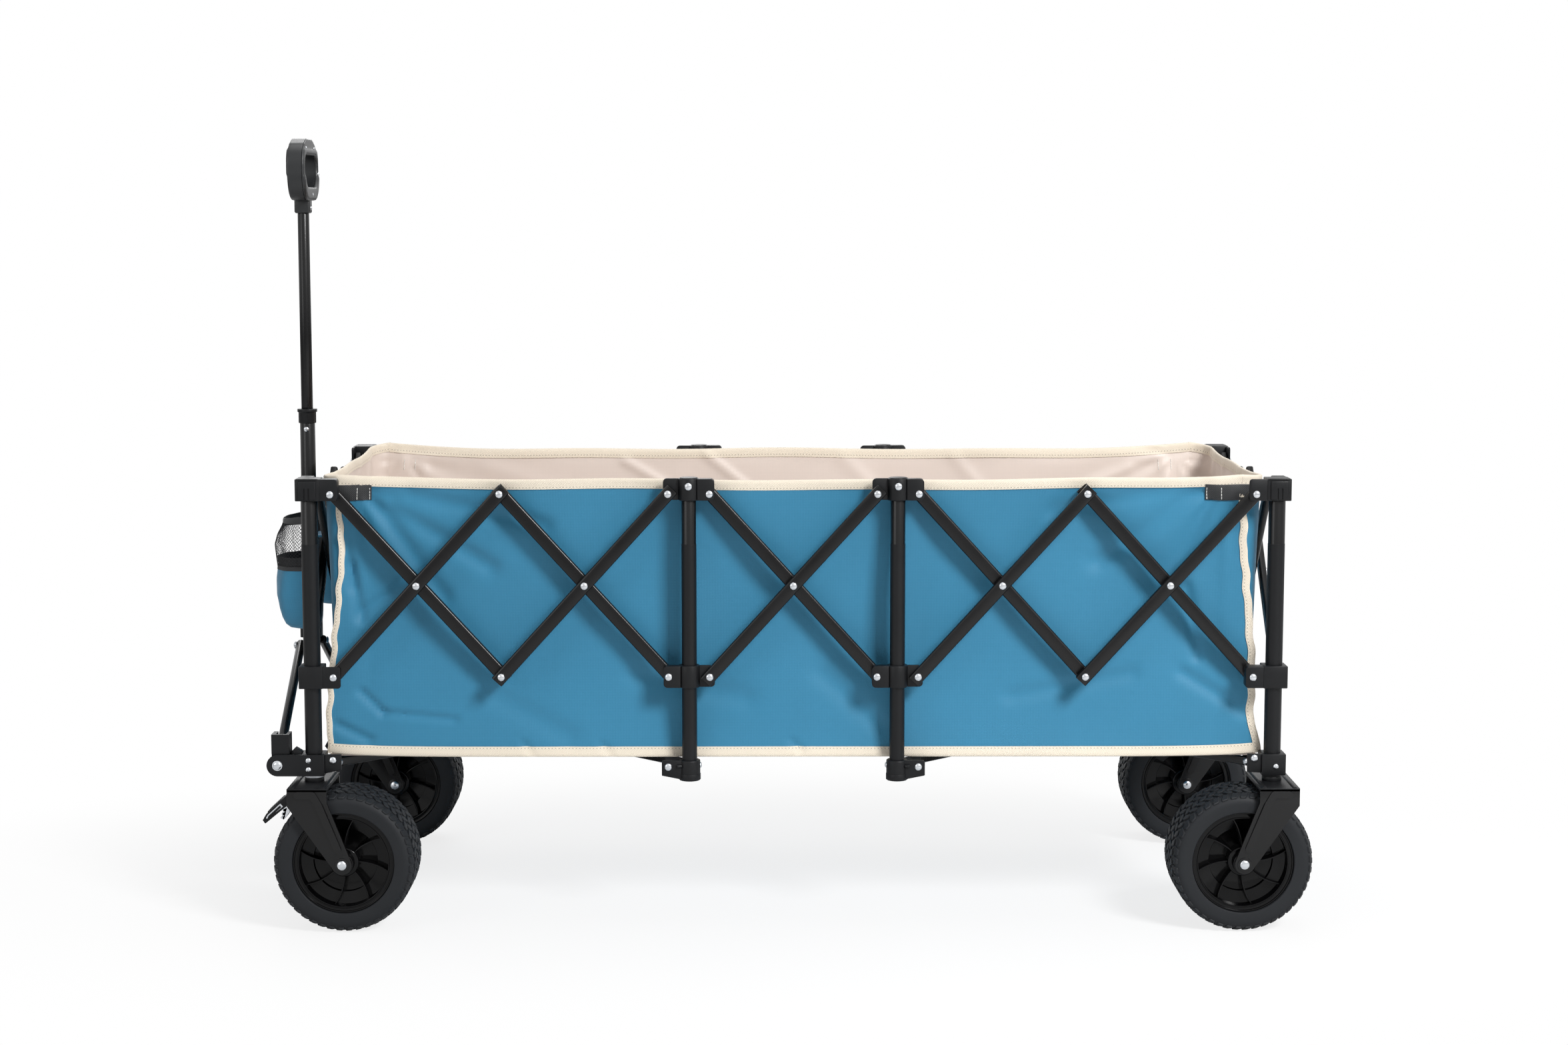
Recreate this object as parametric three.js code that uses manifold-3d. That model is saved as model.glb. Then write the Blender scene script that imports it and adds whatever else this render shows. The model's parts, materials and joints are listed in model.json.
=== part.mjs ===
// Collapsible folding wagon with a telescoping pull handle.
//
// The frame stands on eight upright posts, four on each side. Crossed bars join the posts along
// both sides and across both ends, so the wagon closes along its length and its width together.
// A fabric bag hangs inside. Front casters swivel and carry foot brakes, rear forks are fixed.
//
// Millimetres. X runs from the handle (-X) to the rear (+X), Y from the near side (-Y) to the
// far side (+Y), Z up from the ground. Pieces are drawn from the front posts' axis and the
// finished group is centred on its own length.

import * as THREE from 'three';
import { mergeVertices } from 'three/addons/utils/BufferGeometryUtils.js';
import Module from 'manifold-3d';

// ---- Driving dimensions ----

// Scissor bars, rounded rectangular steel tube
const barPitch = 320.4; // between a bar's two end pivots
const barAngle = 47.7; // degrees above level, with the wagon open
const barEnd = 8.8; // past each end pivot
const barWidth = 17;
const barThickness = 9.5;
const barWall = 1.2;
const barCorner = 2.2;
const spacerRadius = 6;

// Places of the pivots on the posts
const cornerPivotOffset = 29;
const midPivotOffset = 26.5;
const topPivotHeight = 565;

// Clearances
const runningGap = 0.3;
const boreGap = 0.35;

// Posts, round steel tube
const cornerPostRadius = 10.65;
const midPostRadius = 9.4;
const postWall = 1.2;
const postSides = 12;
const postCap = 3;

// Moulded brackets on the posts
const sleeveHalf = 15.6;
const midSleeveRadius = 13.7;
const cheekEnd = 9.5; // flange past its pivot
const midFlangeEnd = 6.5;
const flangeThickness = 4;
const flangeCorner = 3;
const topBracketHeight = 28.5;
const topBracketRise = 20; // above the upper pivots
const sliderHeight = 29;
const bottomBracketBase = 199.5;
const bottomBracketHeight = 28;
const midCapBase = 191.3;
const midCapHeight = 27;
const diagonalFlangeReach = 45;
const diagonalFlangeRivet = 35;
const diagonalFlangeDepth = 20;
const diagonalFlangeTop = 220;
const diagonalFlangeTaper = 6;

// Raised lock block on the corner top brackets
const lockBlockWidth = 23;
const lockBlockProud = 2;
const lockSlotWidth = 3;
const lockSlotSpacing = 4.2;
const lockSlotDepth = 2.6;

// Casters
const wheelCrownGap = 4.7; // between the tyre and the crown above it
const tyreWidth = 90;
const wheelSides = 20;
const shoulderDrop = 7;
const dishRadius = 57;
const lipDrop = 6;
const webThickness = 12;
const hubRadius = 14;
const ribCount = 8;
const ribThickness = 2.6;
const ribRise = 9;
const ribSweep = 34; // degrees between a rib's root and its tip
const axleRadius = 5;
const axleHeadRadius = 6.5;
const axleHeadLength = 3;
const trail = 42;
const forkPlate = 4;
const forkGap = 5; // between the tyre and each arm
const crownLength = 54;
const crownTop = 190.7;
const armShoulder = 24; // straight upper part of each arm
const armEndRadius = 12.5;
const armEndSteps = 5;
const armRibHeight = 1.6;
const armRibWidth = 3.5;
const stemRadius = 6;
const stemTop = 228;
const swivelWasherRadius = 13;

// Foot brake
const pedalWidth = 40;
const shoeWidth = 24;
const pedalPinRadius = 2.5;
const pedalPinX = -24;
const pedalPinDrop = 14.7; // from the crown's top to the pedal's pin

// Handle
const pitchBoltX = -45;
const pitchBoltHeight = 213.5;
const pitchBoltRadius = 4;
const yokePlate = 3.5;
const yokeEndRadius = 14;
const blockCrest = 12; // above the rod's pin
const blockLength = 24;
const blockWall = 2.8;
const blockSlotSide = 1.2; // between the slot and the rod, which leans across it
const rodPinRise = 28; // above the pitch bolt
const rodPinSet = 4; // behind the pitch bolt
const rodRadius = 6;
const rodEnd = 6.5; // past each pin
const rodPinRadius = 2.4;
const rodPinHead = 2;
const rodPinHeadRadius = 4.8;
const rodSideGap = 1.3; // between the connector's plate and each rod
const handleX = -42;
const connectorPinHeight = 333;
const connectorPinHalf = 23.2;
const connectorPlate = 8;
const connectorEnd = 9;
const connectorCorner = 5;
const socketTop = 385;
const socketHalf = 14;
const outerTubeRadius = 10.1;
const outerTubeTop = 655;
const outerTubeWall = 1.6;
const collarRadius = 11.9;
const collarLength = 18;
const collarLip = 1.5;
const innerTubeRadius = 7.8;
const innerTubeWall = 1.2;
const innerTubeInsert = 37; // inside the outer tube
const innerTubeTop = 938;
const gripCollarGrasp = 16; // of the collar on the inner tube
const gripCollarWidth = 21;
const gripHeight = 100; // with its collar
const gripWidth = 117;
const gripNeckWidth = 52;
const gripDepth = 25;
const gripBar = 20;
const gripBevel = 4;

// Bag and the folding frame under its floor
const bagSideGap = 15.2; // from the posts' line to the bag's side
const bagWall = 3;
const bagRimHeight = 581;
const bagFloorLift = 2; // above the flanges that point to the hubs
const bagFloorThickness = 4;
const bagEndTop = 30; // front wall behind the front posts' axis, at the rim
const bagEndBottom = 17; // and at the floor
const bagSeamRise = 4; // upright foot of each end wall inside
const pouchCentre = 115;
const pouchHalfWidth = 46;
const pouchFront = -66;
const pouchBack = -13.5;
const pouchTop = 524;
const pouchBottom = 373;
const pouchWall = 3;
const pouchTabHalf = 24;
const pouchTabDrop = 28; // below the pouch's top
const hubDiscRadius = 34;
const hubDiscThickness = 18;
const floorRodWidth = 12;
const floorRodThickness = 5;
const floorRodDrop = 9; // below the top of the flanges it is riveted to

// ---- Places worked out from them ----

const openAngle = THREE.MathUtils.degToRad(barAngle);
const unitSpan = barPitch * Math.cos(openAngle);
const unitRise = barPitch * Math.sin(openAngle);
const lowerPivotHeight = topPivotHeight - unitRise;
const layerOffset = flangeThickness / 2 + runningGap + barThickness / 2;
const pairSpan = cornerPivotOffset + 2 * unitSpan + midPivotOffset;
const middleSpan = 2 * midPivotOffset + unitSpan;
const postLine = [0, pairSpan, pairSpan + middleSpan, 2 * pairSpan + middleSpan];
const wagonLength = postLine[3];
const halfWidth = cornerPivotOffset + unitSpan;
const bagHalfWidth = halfWidth - bagSideGap;
const wheelRadius = (crownTop - forkPlate - wheelCrownGap) / 2;
const pedalPinHeight = crownTop - pedalPinDrop;
const forkInner = tyreWidth / 2 + forkGap;
const forkOuter = forkInner + forkPlate;
const rodSwing = connectorPlate / 2 + rodSideGap + rodRadius;
const rodPinX = pitchBoltX + rodPinSet;
const rodPinHeight = pitchBoltHeight + rodPinRise;
const blockTop = rodPinHeight + blockCrest;
const rodReach = halfWidth - connectorPinHalf;
const rodRise = connectorPinHeight - rodPinHeight;
const innerTubeBottom = outerTubeTop - innerTubeInsert;
const gripCollarBase = innerTubeTop - gripCollarGrasp;
const gripTop = gripCollarBase + gripHeight;
const bottomBracketTop = bottomBracketBase + bottomBracketHeight;
const floorRodHeight = diagonalFlangeTop - floorRodDrop;
const bagFloorHeight = diagonalFlangeTop + bagFloorLift;
const pouchTabBase = pouchTop - pouchTabDrop;

const wasm = await Module();
wasm.setup();

// ---- Materials ----

const blackSteel = new THREE.MeshStandardMaterial({ color: 0x1b1b1c, roughness: 0.38, metalness: 0.35 });
const blackPlastic = new THREE.MeshStandardMaterial({ color: 0x26282a, roughness: 0.6, metalness: 0 });
const tyreRubber = new THREE.MeshStandardMaterial({ color: 0x303335, roughness: 0.85, metalness: 0 });
const blueOxford = new THREE.MeshStandardMaterial({ color: 0x2f749c, roughness: 0.8, metalness: 0 });

// ---- Solids ----

// A closed geometry as a solid that can be joined and cut.
function solid(geometry) {
  geometry.deleteAttribute('normal');
  geometry.deleteAttribute('uv');
  const merged = mergeVertices(geometry, 1e-4);
  return new wasm.Manifold(
    new wasm.Mesh({
      numProp: 3,
      vertProperties: new Float32Array(merged.attributes.position.array),
      triVerts: new Uint32Array(merged.index.array),
    }),
  );
}

// Faces that joined pieces share a plane on are merged, with nothing moved.
function geometryOf(body) {
  const mesh = body.asOriginal().simplify(1e-3).getMesh();
  const geometry = new THREE.BufferGeometry();
  geometry.setAttribute('position', new THREE.BufferAttribute(mesh.vertProperties, 3));
  geometry.setIndex(new THREE.BufferAttribute(mesh.triVerts, 1));
  geometry.computeVertexNormals();
  return geometry;
}

function join(...bodies) {
  return bodies.reduce((whole, body) => whole.add(body));
}

// Outlines are given in the plane of the plate; each helper stands that plane up in the wagon.
const towardsX = new THREE.Matrix4().makeBasis(
  new THREE.Vector3(0, 1, 0),
  new THREE.Vector3(0, 0, 1),
  new THREE.Vector3(1, 0, 0),
);

function plateAcrossX(shape, x0, x1, curveSegments = 6) {
  const depth = Math.abs(x1 - x0);
  const geometry = new THREE.ExtrudeGeometry(shape, { depth, bevelEnabled: false, curveSegments });
  geometry.applyMatrix4(towardsX);
  geometry.translate(Math.min(x0, x1), 0, 0);
  return solid(geometry);
}

function plateAcrossY(shape, y0, y1, curveSegments = 6) {
  const depth = Math.abs(y1 - y0);
  const geometry = new THREE.ExtrudeGeometry(shape, { depth, bevelEnabled: false, curveSegments });
  geometry.rotateX(Math.PI / 2);
  geometry.translate(0, Math.max(y0, y1), 0);
  return solid(geometry);
}

function plateAcrossZ(shape, z0, z1, curveSegments = 6) {
  const geometry = new THREE.ExtrudeGeometry(shape, { depth: z1 - z0, bevelEnabled: false, curveSegments });
  geometry.translate(0, 0, z0);
  return solid(geometry);
}

function outline(points) {
  return new THREE.Shape(points.map(([a, b]) => new THREE.Vector2(a, b)));
}

// A rectangle whose four corners are cut off by `corner`.
function cutRectangle(a0, a1, b0, b1, corner) {
  const [left, right] = [Math.min(a0, a1), Math.max(a0, a1)];
  return outline([
    [left + corner, b0],
    [right - corner, b0],
    [right, b0 + corner],
    [right, b1 - corner],
    [right - corner, b1],
    [left + corner, b1],
    [left, b1 - corner],
    [left, b0 + corner],
  ]);
}

function block(x0, x1, y0, y1, z0, z1) {
  const geometry = new THREE.BoxGeometry(Math.abs(x1 - x0), Math.abs(y1 - y0), Math.abs(z1 - z0));
  geometry.translate((x0 + x1) / 2, (y0 + y1) / 2, (z0 + z1) / 2);
  return solid(geometry);
}

function uprightCylinder(radius, z0, z1, sides = postSides) {
  const geometry = new THREE.CylinderGeometry(radius, radius, z1 - z0, sides);
  geometry.rotateX(Math.PI / 2);
  geometry.translate(0, 0, (z0 + z1) / 2);
  return solid(geometry);
}

function cylinderAlongX(radius, x0, x1, y, z, sides = 12) {
  const geometry = new THREE.CylinderGeometry(radius, radius, Math.abs(x1 - x0), sides);
  geometry.rotateZ(Math.PI / 2);
  geometry.translate((x0 + x1) / 2, y, z);
  return solid(geometry);
}

function cylinderAlongY(radius, x, y0, y1, z, sides = 12) {
  const geometry = new THREE.CylinderGeometry(radius, radius, Math.abs(y1 - y0), sides);
  geometry.translate(x, (y0 + y1) / 2, z);
  return solid(geometry);
}

// ---- The wagon, as a scene ----

const wagon = new THREE.Group();

function addPiece(name, body, material, parent = wagon) {
  const mesh = new THREE.Mesh(geometryOf(body), material);
  mesh.name = name;
  parent.add(mesh);
  return mesh;
}

// ---- Scissor bars ----

// A bar lies along +X from its first pivot, with square ends. Spacers stand on the side that
// faces the bar it crosses, at the given shares of its length.
function scissorBar(spacers, facing) {
  const half = barThickness / 2;
  const section = cutRectangle(-half, half, -barWidth / 2, barWidth / 2, barCorner);
  const bore = [half - barWall, barWidth / 2 - barWall];
  section.holes.push(
    outline([
      [-bore[0], -bore[1]],
      [bore[0], -bore[1]],
      [bore[0], bore[1]],
      [-bore[0], bore[1]],
    ]),
  );
  let bar = plateAcrossX(section, -barEnd, barPitch + barEnd);

  const spacerLength = 2 * layerOffset - barThickness - runningGap;
  for (const share of spacers) {
    const root = facing * (half - barWall / 2);
    const tip = facing * (half + spacerLength);
    bar = bar.add(cylinderAlongY(spacerRadius, share * barPitch, root, tip, 0, 6));
  }
  return bar;
}

// The crossed pairs of one face, between its two corner posts. The rising bars run outside and
// the falling bars inside; `inward` is the local Y direction of the bag.
function addScissors(face, units, inward, parent) {
  units.forEach(({ start, joins }, index) => {
    const rising = addPiece(
      `${face}_bar_${index + 1}_rising`,
      scissorBar([0.5, ...joins], inward),
      blackSteel,
      parent,
    );
    rising.position.set(start, -inward * layerOffset, lowerPivotHeight);
    rising.rotation.y = -openAngle;
    const falling = addPiece(
      `${face}_bar_${index + 1}_falling`,
      scissorBar([], inward),
      blackSteel,
      parent,
    );
    falling.position.set(start, inward * layerOffset, topPivotHeight);
    falling.rotation.y = openAngle;
  });
}

// Two units that meet at a loose vertex: the first joins its neighbour at its top end, the
// second at its bottom end.
function pairOfUnits(start) {
  return [
    { start, joins: [1] },
    { start: start + unitSpan, joins: [0] },
  ];
}

const sideUnits = [
  ...pairOfUnits(cornerPivotOffset),
  { start: postLine[1] + midPivotOffset, joins: [] },
  ...pairOfUnits(postLine[2] + midPivotOffset),
];
const endUnits = pairOfUnits(cornerPivotOffset - halfWidth);

for (const [side, y, inward] of [['near', -halfWidth, 1], ['far', halfWidth, -1]]) {
  const face = new THREE.Group();
  face.position.y = y;
  wagon.add(face);
  addScissors(side, sideUnits, inward, face);
}
for (const [end, x, inward] of [['front', 0, -1], ['rear', wagonLength, 1]]) {
  const face = new THREE.Group();
  face.position.x = x;
  face.rotation.z = Math.PI / 2;
  wagon.add(face);
  addScissors(end, endUnits, inward, face);
}

// ---- Corner brackets ----
// They are drawn round the post's axis: `dx` and `dy` are +1 or -1 towards the bag.

// How far a flange reaches inwards from the bracket's outer face to the face of its bar.
function flangeInside(barIsOutside) {
  const layer = barIsOutside ? -layerOffset : layerOffset;
  return layer - barThickness / 2 - runningGap;
}

function cornerBracket(dx, dy, z0, z1, sideBarOutside, endBarOutside) {
  const reach = cornerPivotOffset + cheekEnd;
  const sleeve = plateAcrossZ(
    cutRectangle(-sleeveHalf, sleeveHalf, -sleeveHalf, sleeveHalf, flangeCorner),
    z0,
    z1,
  );
  const sideFlange = plateAcrossY(
    cutRectangle(-dx * (sleeveHalf - flangeCorner), dx * reach, z0, z1, flangeCorner),
    -dy * sleeveHalf,
    dy * flangeInside(sideBarOutside),
  );
  const endFlange = plateAcrossX(
    cutRectangle(-dy * (sleeveHalf - flangeCorner), dy * reach, z0, z1, flangeCorner),
    -dx * sleeveHalf,
    dx * flangeInside(endBarOutside),
  );
  return join(sleeve, sideFlange, endFlange);
}

// The lock block on a top bracket's outer face, with two upright slots.
function lockBlock(dy, z0, z1) {
  const half = lockBlockWidth / 2;
  const face = dy * sleeveHalf;
  const slotTop = z1 - topBracketHeight * 0.22;
  let body = plateAcrossY(
    cutRectangle(-half, half, z0 + 1, z1 - 1, flangeCorner / 2),
    -face - dy * lockBlockProud,
    -face + dy * lockBlockProud,
  );
  for (const slot of [-lockSlotSpacing, lockSlotSpacing]) {
    body = body.subtract(
      block(
        slot - lockSlotWidth / 2,
        slot + lockSlotWidth / 2,
        -face - dy * (lockBlockProud + 1),
        -face + dy * (lockSlotDepth - lockBlockProud),
        z0,
        slotTop,
      ),
    );
  }
  return body;
}

// The tapered plate that runs from a bottom bracket towards the hub under the floor.
function diagonalFlange(angle, z1) {
  const half = flangeThickness / 2;
  const z0 = z1 - diagonalFlangeDepth;
  const geometry = new THREE.ExtrudeGeometry(
    outline([
      [0, z0],
      [diagonalFlangeReach - flangeCorner, z0 + diagonalFlangeTaper],
      [diagonalFlangeReach, z0 + diagonalFlangeTaper + flangeCorner],
      [diagonalFlangeReach, z1 - flangeCorner],
      [diagonalFlangeReach - flangeCorner, z1],
      [0, z1],
    ]),
    { depth: flangeThickness, bevelEnabled: false },
  );
  geometry.rotateX(Math.PI / 2);
  geometry.translate(0, half, 0);
  geometry.rotateZ(angle);
  return solid(geometry);
}

// The direction, on plan, from a post to the hub in the middle of its section.
function hubDirection(dx, dy) {
  return Math.atan2(dy * halfWidth, (dx * pairSpan) / 2);
}

// ---- Fork ----

// Where the straight edge from a shoulder meets the round end of an arm, as an angle.
function roundEndTurn(x, z, turn) {
  const span = Math.hypot(x - trail, z - wheelRadius);
  return Math.atan2(z - wheelRadius, x - trail) + turn * Math.acos(armEndRadius / span);
}

// Drawn round the swivel axis, with its axle at `dx * trail`.
function fork(dx) {
  const half = crownLength / 2;
  const shoulders = [[-half, crownTop - armShoulder], [half, crownTop - 0.8 * armShoulder]];
  const leading = roundEndTurn(...shoulders[0], 1) - 2 * Math.PI;
  const trailing = roundEndTurn(...shoulders[1], -1);
  const arc = [];
  for (let step = 0; step <= armEndSteps; step += 1) {
    const turn = leading + ((trailing - leading) * step) / armEndSteps;
    arc.push([trail + armEndRadius * Math.cos(turn), wheelRadius + armEndRadius * Math.sin(turn)]);
  }
  const armPoints = [[-half, crownTop], shoulders[0], ...arc, shoulders[1], [half, crownTop]];
  const armOutline = outline(armPoints.map(([x, z]) => [dx * x, z]));
  const ribPoints = [
    [half - 3 * armRibWidth, crownTop - 2 * armRibWidth],
    [half - 2 * armRibWidth, crownTop - 2 * armRibWidth],
    [half, crownTop - armShoulder - armRibWidth],
    [trail + armRibWidth, wheelRadius + 2 * armEndRadius],
    [trail, wheelRadius + 2 * armEndRadius],
    [half - armRibWidth, crownTop - armShoulder - armRibWidth],
  ];
  const ribOutline = outline(ribPoints.map(([x, z]) => [dx * x, z]));

  const crown = block(-half, half, -forkOuter, forkOuter, crownTop - forkPlate, crownTop);
  const pieces = [crown];
  for (const side of [-1, 1]) {
    pieces.push(plateAcrossY(armOutline, side * forkInner, side * forkOuter));
    pieces.push(plateAcrossY(ribOutline, side * (forkOuter - 1), side * (forkOuter + armRibHeight)));
    pieces.push(
      cylinderAlongY(
        axleHeadRadius,
        dx * trail,
        side * (forkOuter - 1),
        side * (forkOuter + axleHeadLength),
        wheelRadius,
      ),
    );
  }
  pieces.push(cylinderAlongY(axleRadius, dx * trail, -forkOuter, forkOuter, wheelRadius));
  return join(...pieces);
}

// ---- Posts ----

function postBore(radius, z0, z1) {
  return join(
    uprightCylinder(radius - postWall, z0, z1),
    uprightCylinder(stemRadius + boreGap, 0, z0 + 1, 12),
  );
}

function cornerPost(end, side) {
  const [dx, dy] = [-end, -side];
  const top = topPivotHeight + topBracketRise;
  const topBase = top - topBracketHeight;
  let post = join(
    uprightCylinder(cornerPostRadius, bottomBracketBase, top - postCap),
    cornerBracket(dx, dy, topBase, top, end > 0, side > 0),
    lockBlock(dy, topBase, top),
    plateAcrossZ(
      cutRectangle(-sleeveHalf, sleeveHalf, -sleeveHalf, sleeveHalf, flangeCorner),
      bottomBracketBase,
      bottomBracketTop,
    ),
    diagonalFlange(hubDirection(dx, dy), diagonalFlangeTop),
  );
  if (end < 0) {
    post = join(post, ...handleYoke());
  } else {
    post = join(
      post,
      fork(dx),
      uprightCylinder(swivelWasherRadius, crownTop - 1, bottomBracketBase + 1),
    );
  }
  const bore = postBore(cornerPostRadius, bottomBracketTop + 6, top - 2 * postCap);
  // The hole under the post stops short of the axle.
  return post.subtract(bore.subtract(block(-50, 50, -50, 50, 0, crownTop - 2 * forkPlate)));
}

// Two plates that reach forward of a front post to the bolt on which the handle tips, and the
// stop that its block leans on when upright.
function handleYoke() {
  const plate = new THREE.Shape();
  plate.moveTo(0, pitchBoltHeight - yokeEndRadius);
  plate.lineTo(0, pitchBoltHeight + yokeEndRadius);
  plate.absarc(pitchBoltX, pitchBoltHeight, yokeEndRadius, Math.PI / 2, (3 * Math.PI) / 2);
  const inner = sleeveHalf - yokePlate;
  const stopFace = rodPinX + blockLength / 2 + runningGap;
  const stop = outline([
    [stopFace, bottomBracketTop - 8],
    [0, bottomBracketTop - 16],
    [0, bottomBracketTop],
    [stopFace + 6, bottomBracketTop + 3],
    [stopFace, bottomBracketTop + 1],
  ]);
  return [
    plateAcrossY(plate, -sleeveHalf, -inner),
    plateAcrossY(plate, inner, sleeveHalf),
    plateAcrossY(stop, -inner / 2, inner / 2),
    cylinderAlongY(pitchBoltRadius, pitchBoltX, -sleeveHalf, sleeveHalf, pitchBoltHeight),
  ];
}

function midPost(side, towardsHub) {
  const dy = -side;
  const top = topPivotHeight + topBracketRise;
  const topBase = top - topBracketHeight;
  const reach = midPivotOffset + midFlangeEnd;
  const half = flangeThickness / 2;
  const post = join(
    uprightCylinder(midPostRadius, midCapBase, top - postCap),
    uprightCylinder(midSleeveRadius, topBase, top),
    plateAcrossY(cutRectangle(-reach, reach, topBase, top, flangeCorner), -half, half),
    uprightCylinder(midSleeveRadius, midCapBase, midCapBase + midCapHeight),
    diagonalFlange(hubDirection(towardsHub, dy), midCapBase + midCapHeight),
  );
  return post.subtract(
    join(
      uprightCylinder(midPostRadius - postWall, midCapBase + postCap, top - 2 * postCap),
      uprightCylinder(stemRadius / 2, 0, midCapBase + 2 * postCap, 8),
    ),
  );
}

// ---- Sliders: the sleeves that the lower ends of the bars push along the posts ----

function cornerSlider(end, side) {
  const half = sliderHeight / 2;
  const body = cornerBracket(-end, -side, -half, half, end < 0, side < 0);
  return body.subtract(uprightCylinder(cornerPostRadius + boreGap, -sliderHeight, sliderHeight));
}

function midSlider() {
  const half = sliderHeight / 2;
  const reach = midPivotOffset + midFlangeEnd;
  const plate = flangeThickness / 2;
  const body = join(
    uprightCylinder(midSleeveRadius, -half, half),
    plateAcrossY(cutRectangle(-reach, reach, -half, half, flangeCorner), -plate, plate),
  );
  return body.subtract(uprightCylinder(midPostRadius + boreGap, -sliderHeight, sliderHeight));
}

const rows = ['front', 'mid_front', 'mid_rear', 'rear'];
for (const [sideName, side] of [['near', -1], ['far', 1]]) {
  rows.forEach((row, index) => {
    const isCorner = index === 0 || index === 3;
    const end = index === 0 ? -1 : 1;
    const post = isCorner ? cornerPost(end, side) : midPost(side, index === 1 ? -1 : 1);
    const postMesh = addPiece(`post_${row}_${sideName}`, post, blackSteel);
    postMesh.position.set(postLine[index], side * halfWidth, 0);
    const slider = isCorner ? cornerSlider(end, side) : midSlider();
    const sliderMesh = addPiece(`slider_${row}_${sideName}`, slider, blackPlastic);
    sliderMesh.position.set(postLine[index], side * halfWidth, lowerPivotHeight);
  });
}

// ---- Front caster forks, which swivel on a stem in the post ----

function casterFork() {
  return join(
    fork(1),
    uprightCylinder(stemRadius, crownTop - 1, stemTop, 12),
    uprightCylinder(swivelWasherRadius, crownTop - 1, bottomBracketBase - runningGap),
  );
}

// ---- Wheels ----

function wheel() {
  const facet = 1 / Math.cos(Math.PI / wheelSides);
  const edge = tyreWidth / 2;
  const hubFace = forkInner - 2 * runningGap;
  const half = [
    [axleRadius + boreGap, hubFace],
    [hubRadius, hubFace],
    [hubRadius, webThickness / 2],
    [dishRadius, webThickness / 2],
    [dishRadius, edge - lipDrop],
    [wheelRadius - shoulderDrop, edge],
    [wheelRadius * facet, edge - shoulderDrop * 2],
  ];
  const profile = [...half, ...half.map(([r, a]) => [r, -a]).reverse()];
  profile.push(profile[0]);
  // Every point must lie on one side of the axis and the outline must turn the right way.
  const geometry = new THREE.LatheGeometry(
    profile.reverse().map(([r, a]) => new THREE.Vector2(r, a)),
    wheelSides,
    Math.PI / wheelSides,
  );
  let body = solid(geometry);
  for (let index = 0; index < ribCount; index += 1) {
    body = body.add(wheelRib((index * 2 * Math.PI) / ribCount));
  }
  return body;
}

// A curved rib from the hub to the dish wall, standing out of both faces of the web.
function wheelRib(start) {
  const stations = [0, 0.5, 1];
  const edgeAt = (share, offset) => {
    const radius = hubRadius - 3 + share * (dishRadius - hubRadius + 2);
    const angle = start + THREE.MathUtils.degToRad(ribSweep) * share * share;
    return [
      radius * Math.cos(angle) - offset * Math.sin(angle),
      radius * Math.sin(angle) + offset * Math.cos(angle),
    ];
  };
  const left = stations.map((share) => edgeAt(share, ribThickness / 2));
  const right = stations.map((share) => edgeAt(share, -ribThickness / 2)).reverse();
  const reach = webThickness / 2 + ribRise;
  return plateAcrossY(outline([...left, ...right]), -reach, reach);
}

// ---- Foot brake: a pedal with a tooth plate that it presses on the tyre ----

function brakePedal() {
  const paddle = outline([
    [pedalPinX + 7, pedalPinHeight + 6],
    [pedalPinX - 7, pedalPinHeight],
    [pedalPinX - 36, pedalPinHeight - 27],
    [pedalPinX - 41, pedalPinHeight - 34],
    [pedalPinX - 38, pedalPinHeight - 38],
    [pedalPinX - 9, pedalPinHeight - 14],
    [pedalPinX + 5, pedalPinHeight - 5],
  ]);
  const shoe = outline([
    [pedalPinX, pedalPinHeight - 6],
    [pedalPinX - 12, pedalPinHeight - 12],
    [pedalPinX - 15, pedalPinHeight - 26],
    [pedalPinX - 33, pedalPinHeight - 48],
    [pedalPinX - 29.5, pedalPinHeight - 50],
    [pedalPinX - 11.5, pedalPinHeight - 27],
    [pedalPinX - 4, pedalPinHeight - 13],
  ]);
  return join(
    plateAcrossY(paddle, -pedalWidth / 2, pedalWidth / 2),
    plateAcrossY(shoe, -shoeWidth / 2, shoeWidth / 2),
    cylinderAlongY(
      pedalPinRadius,
      pedalPinX,
      -forkInner + runningGap,
      forkInner - runningGap,
      pedalPinHeight,
      8,
    ),
  );
}

for (const [sideName, side] of [['near', -1], ['far', 1]]) {
  const y = side * halfWidth;
  addPiece(`caster_fork_${sideName}`, casterFork(), blackSteel).position.set(0, y, 0);
  addPiece(`brake_pedal_${sideName}`, brakePedal(), blackPlastic).position.set(0, y, 0);
  addPiece(`wheel_front_${sideName}`, wheel(), tyreRubber).position.set(trail, y, wheelRadius);
  addPiece(`wheel_rear_${sideName}`, wheel(), tyreRubber).position.set(wagonLength - trail, y, wheelRadius);
}

// ---- Handle ----

// The block on the pitch bolt. Its slot is open at the top and towards the wagon's middle, and
// the rod swings in it on a cross pin.
function handleBlock(dy) {
  const half = sleeveHalf - yokePlate - runningGap;
  const [front, back] = [rodPinX - blockLength / 2, rodPinX + blockLength / 2];
  const slotHalf = rodRadius + blockSlotSide;
  const slotDepth = Math.hypot(rodEnd, rodRadius) + 0.5;
  const body = join(
    cylinderAlongY(yokeEndRadius - 2, pitchBoltX, -half, half, pitchBoltHeight, 14),
    block(front, back - 3, -half, half, pitchBoltHeight, bottomBracketTop),
    plateAcrossY(cutRectangle(front, back, bottomBracketTop - 1, blockTop, 1.5), -half, half),
  );
  return body
    .subtract(
      block(
        rodPinX - slotHalf,
        rodPinX + slotHalf,
        -dy * (half - blockWall),
        dy * (half + 1),
        rodPinHeight - slotDepth,
        blockTop + 1,
      ),
    )
    .subtract(cylinderAlongY(pitchBoltRadius + boreGap, pitchBoltX, -half - 1, half + 1, pitchBoltHeight))
    .add(cylinderAlongX(rodPinRadius, front + 1, back - 1, 0, rodPinHeight, 8));
}

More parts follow.
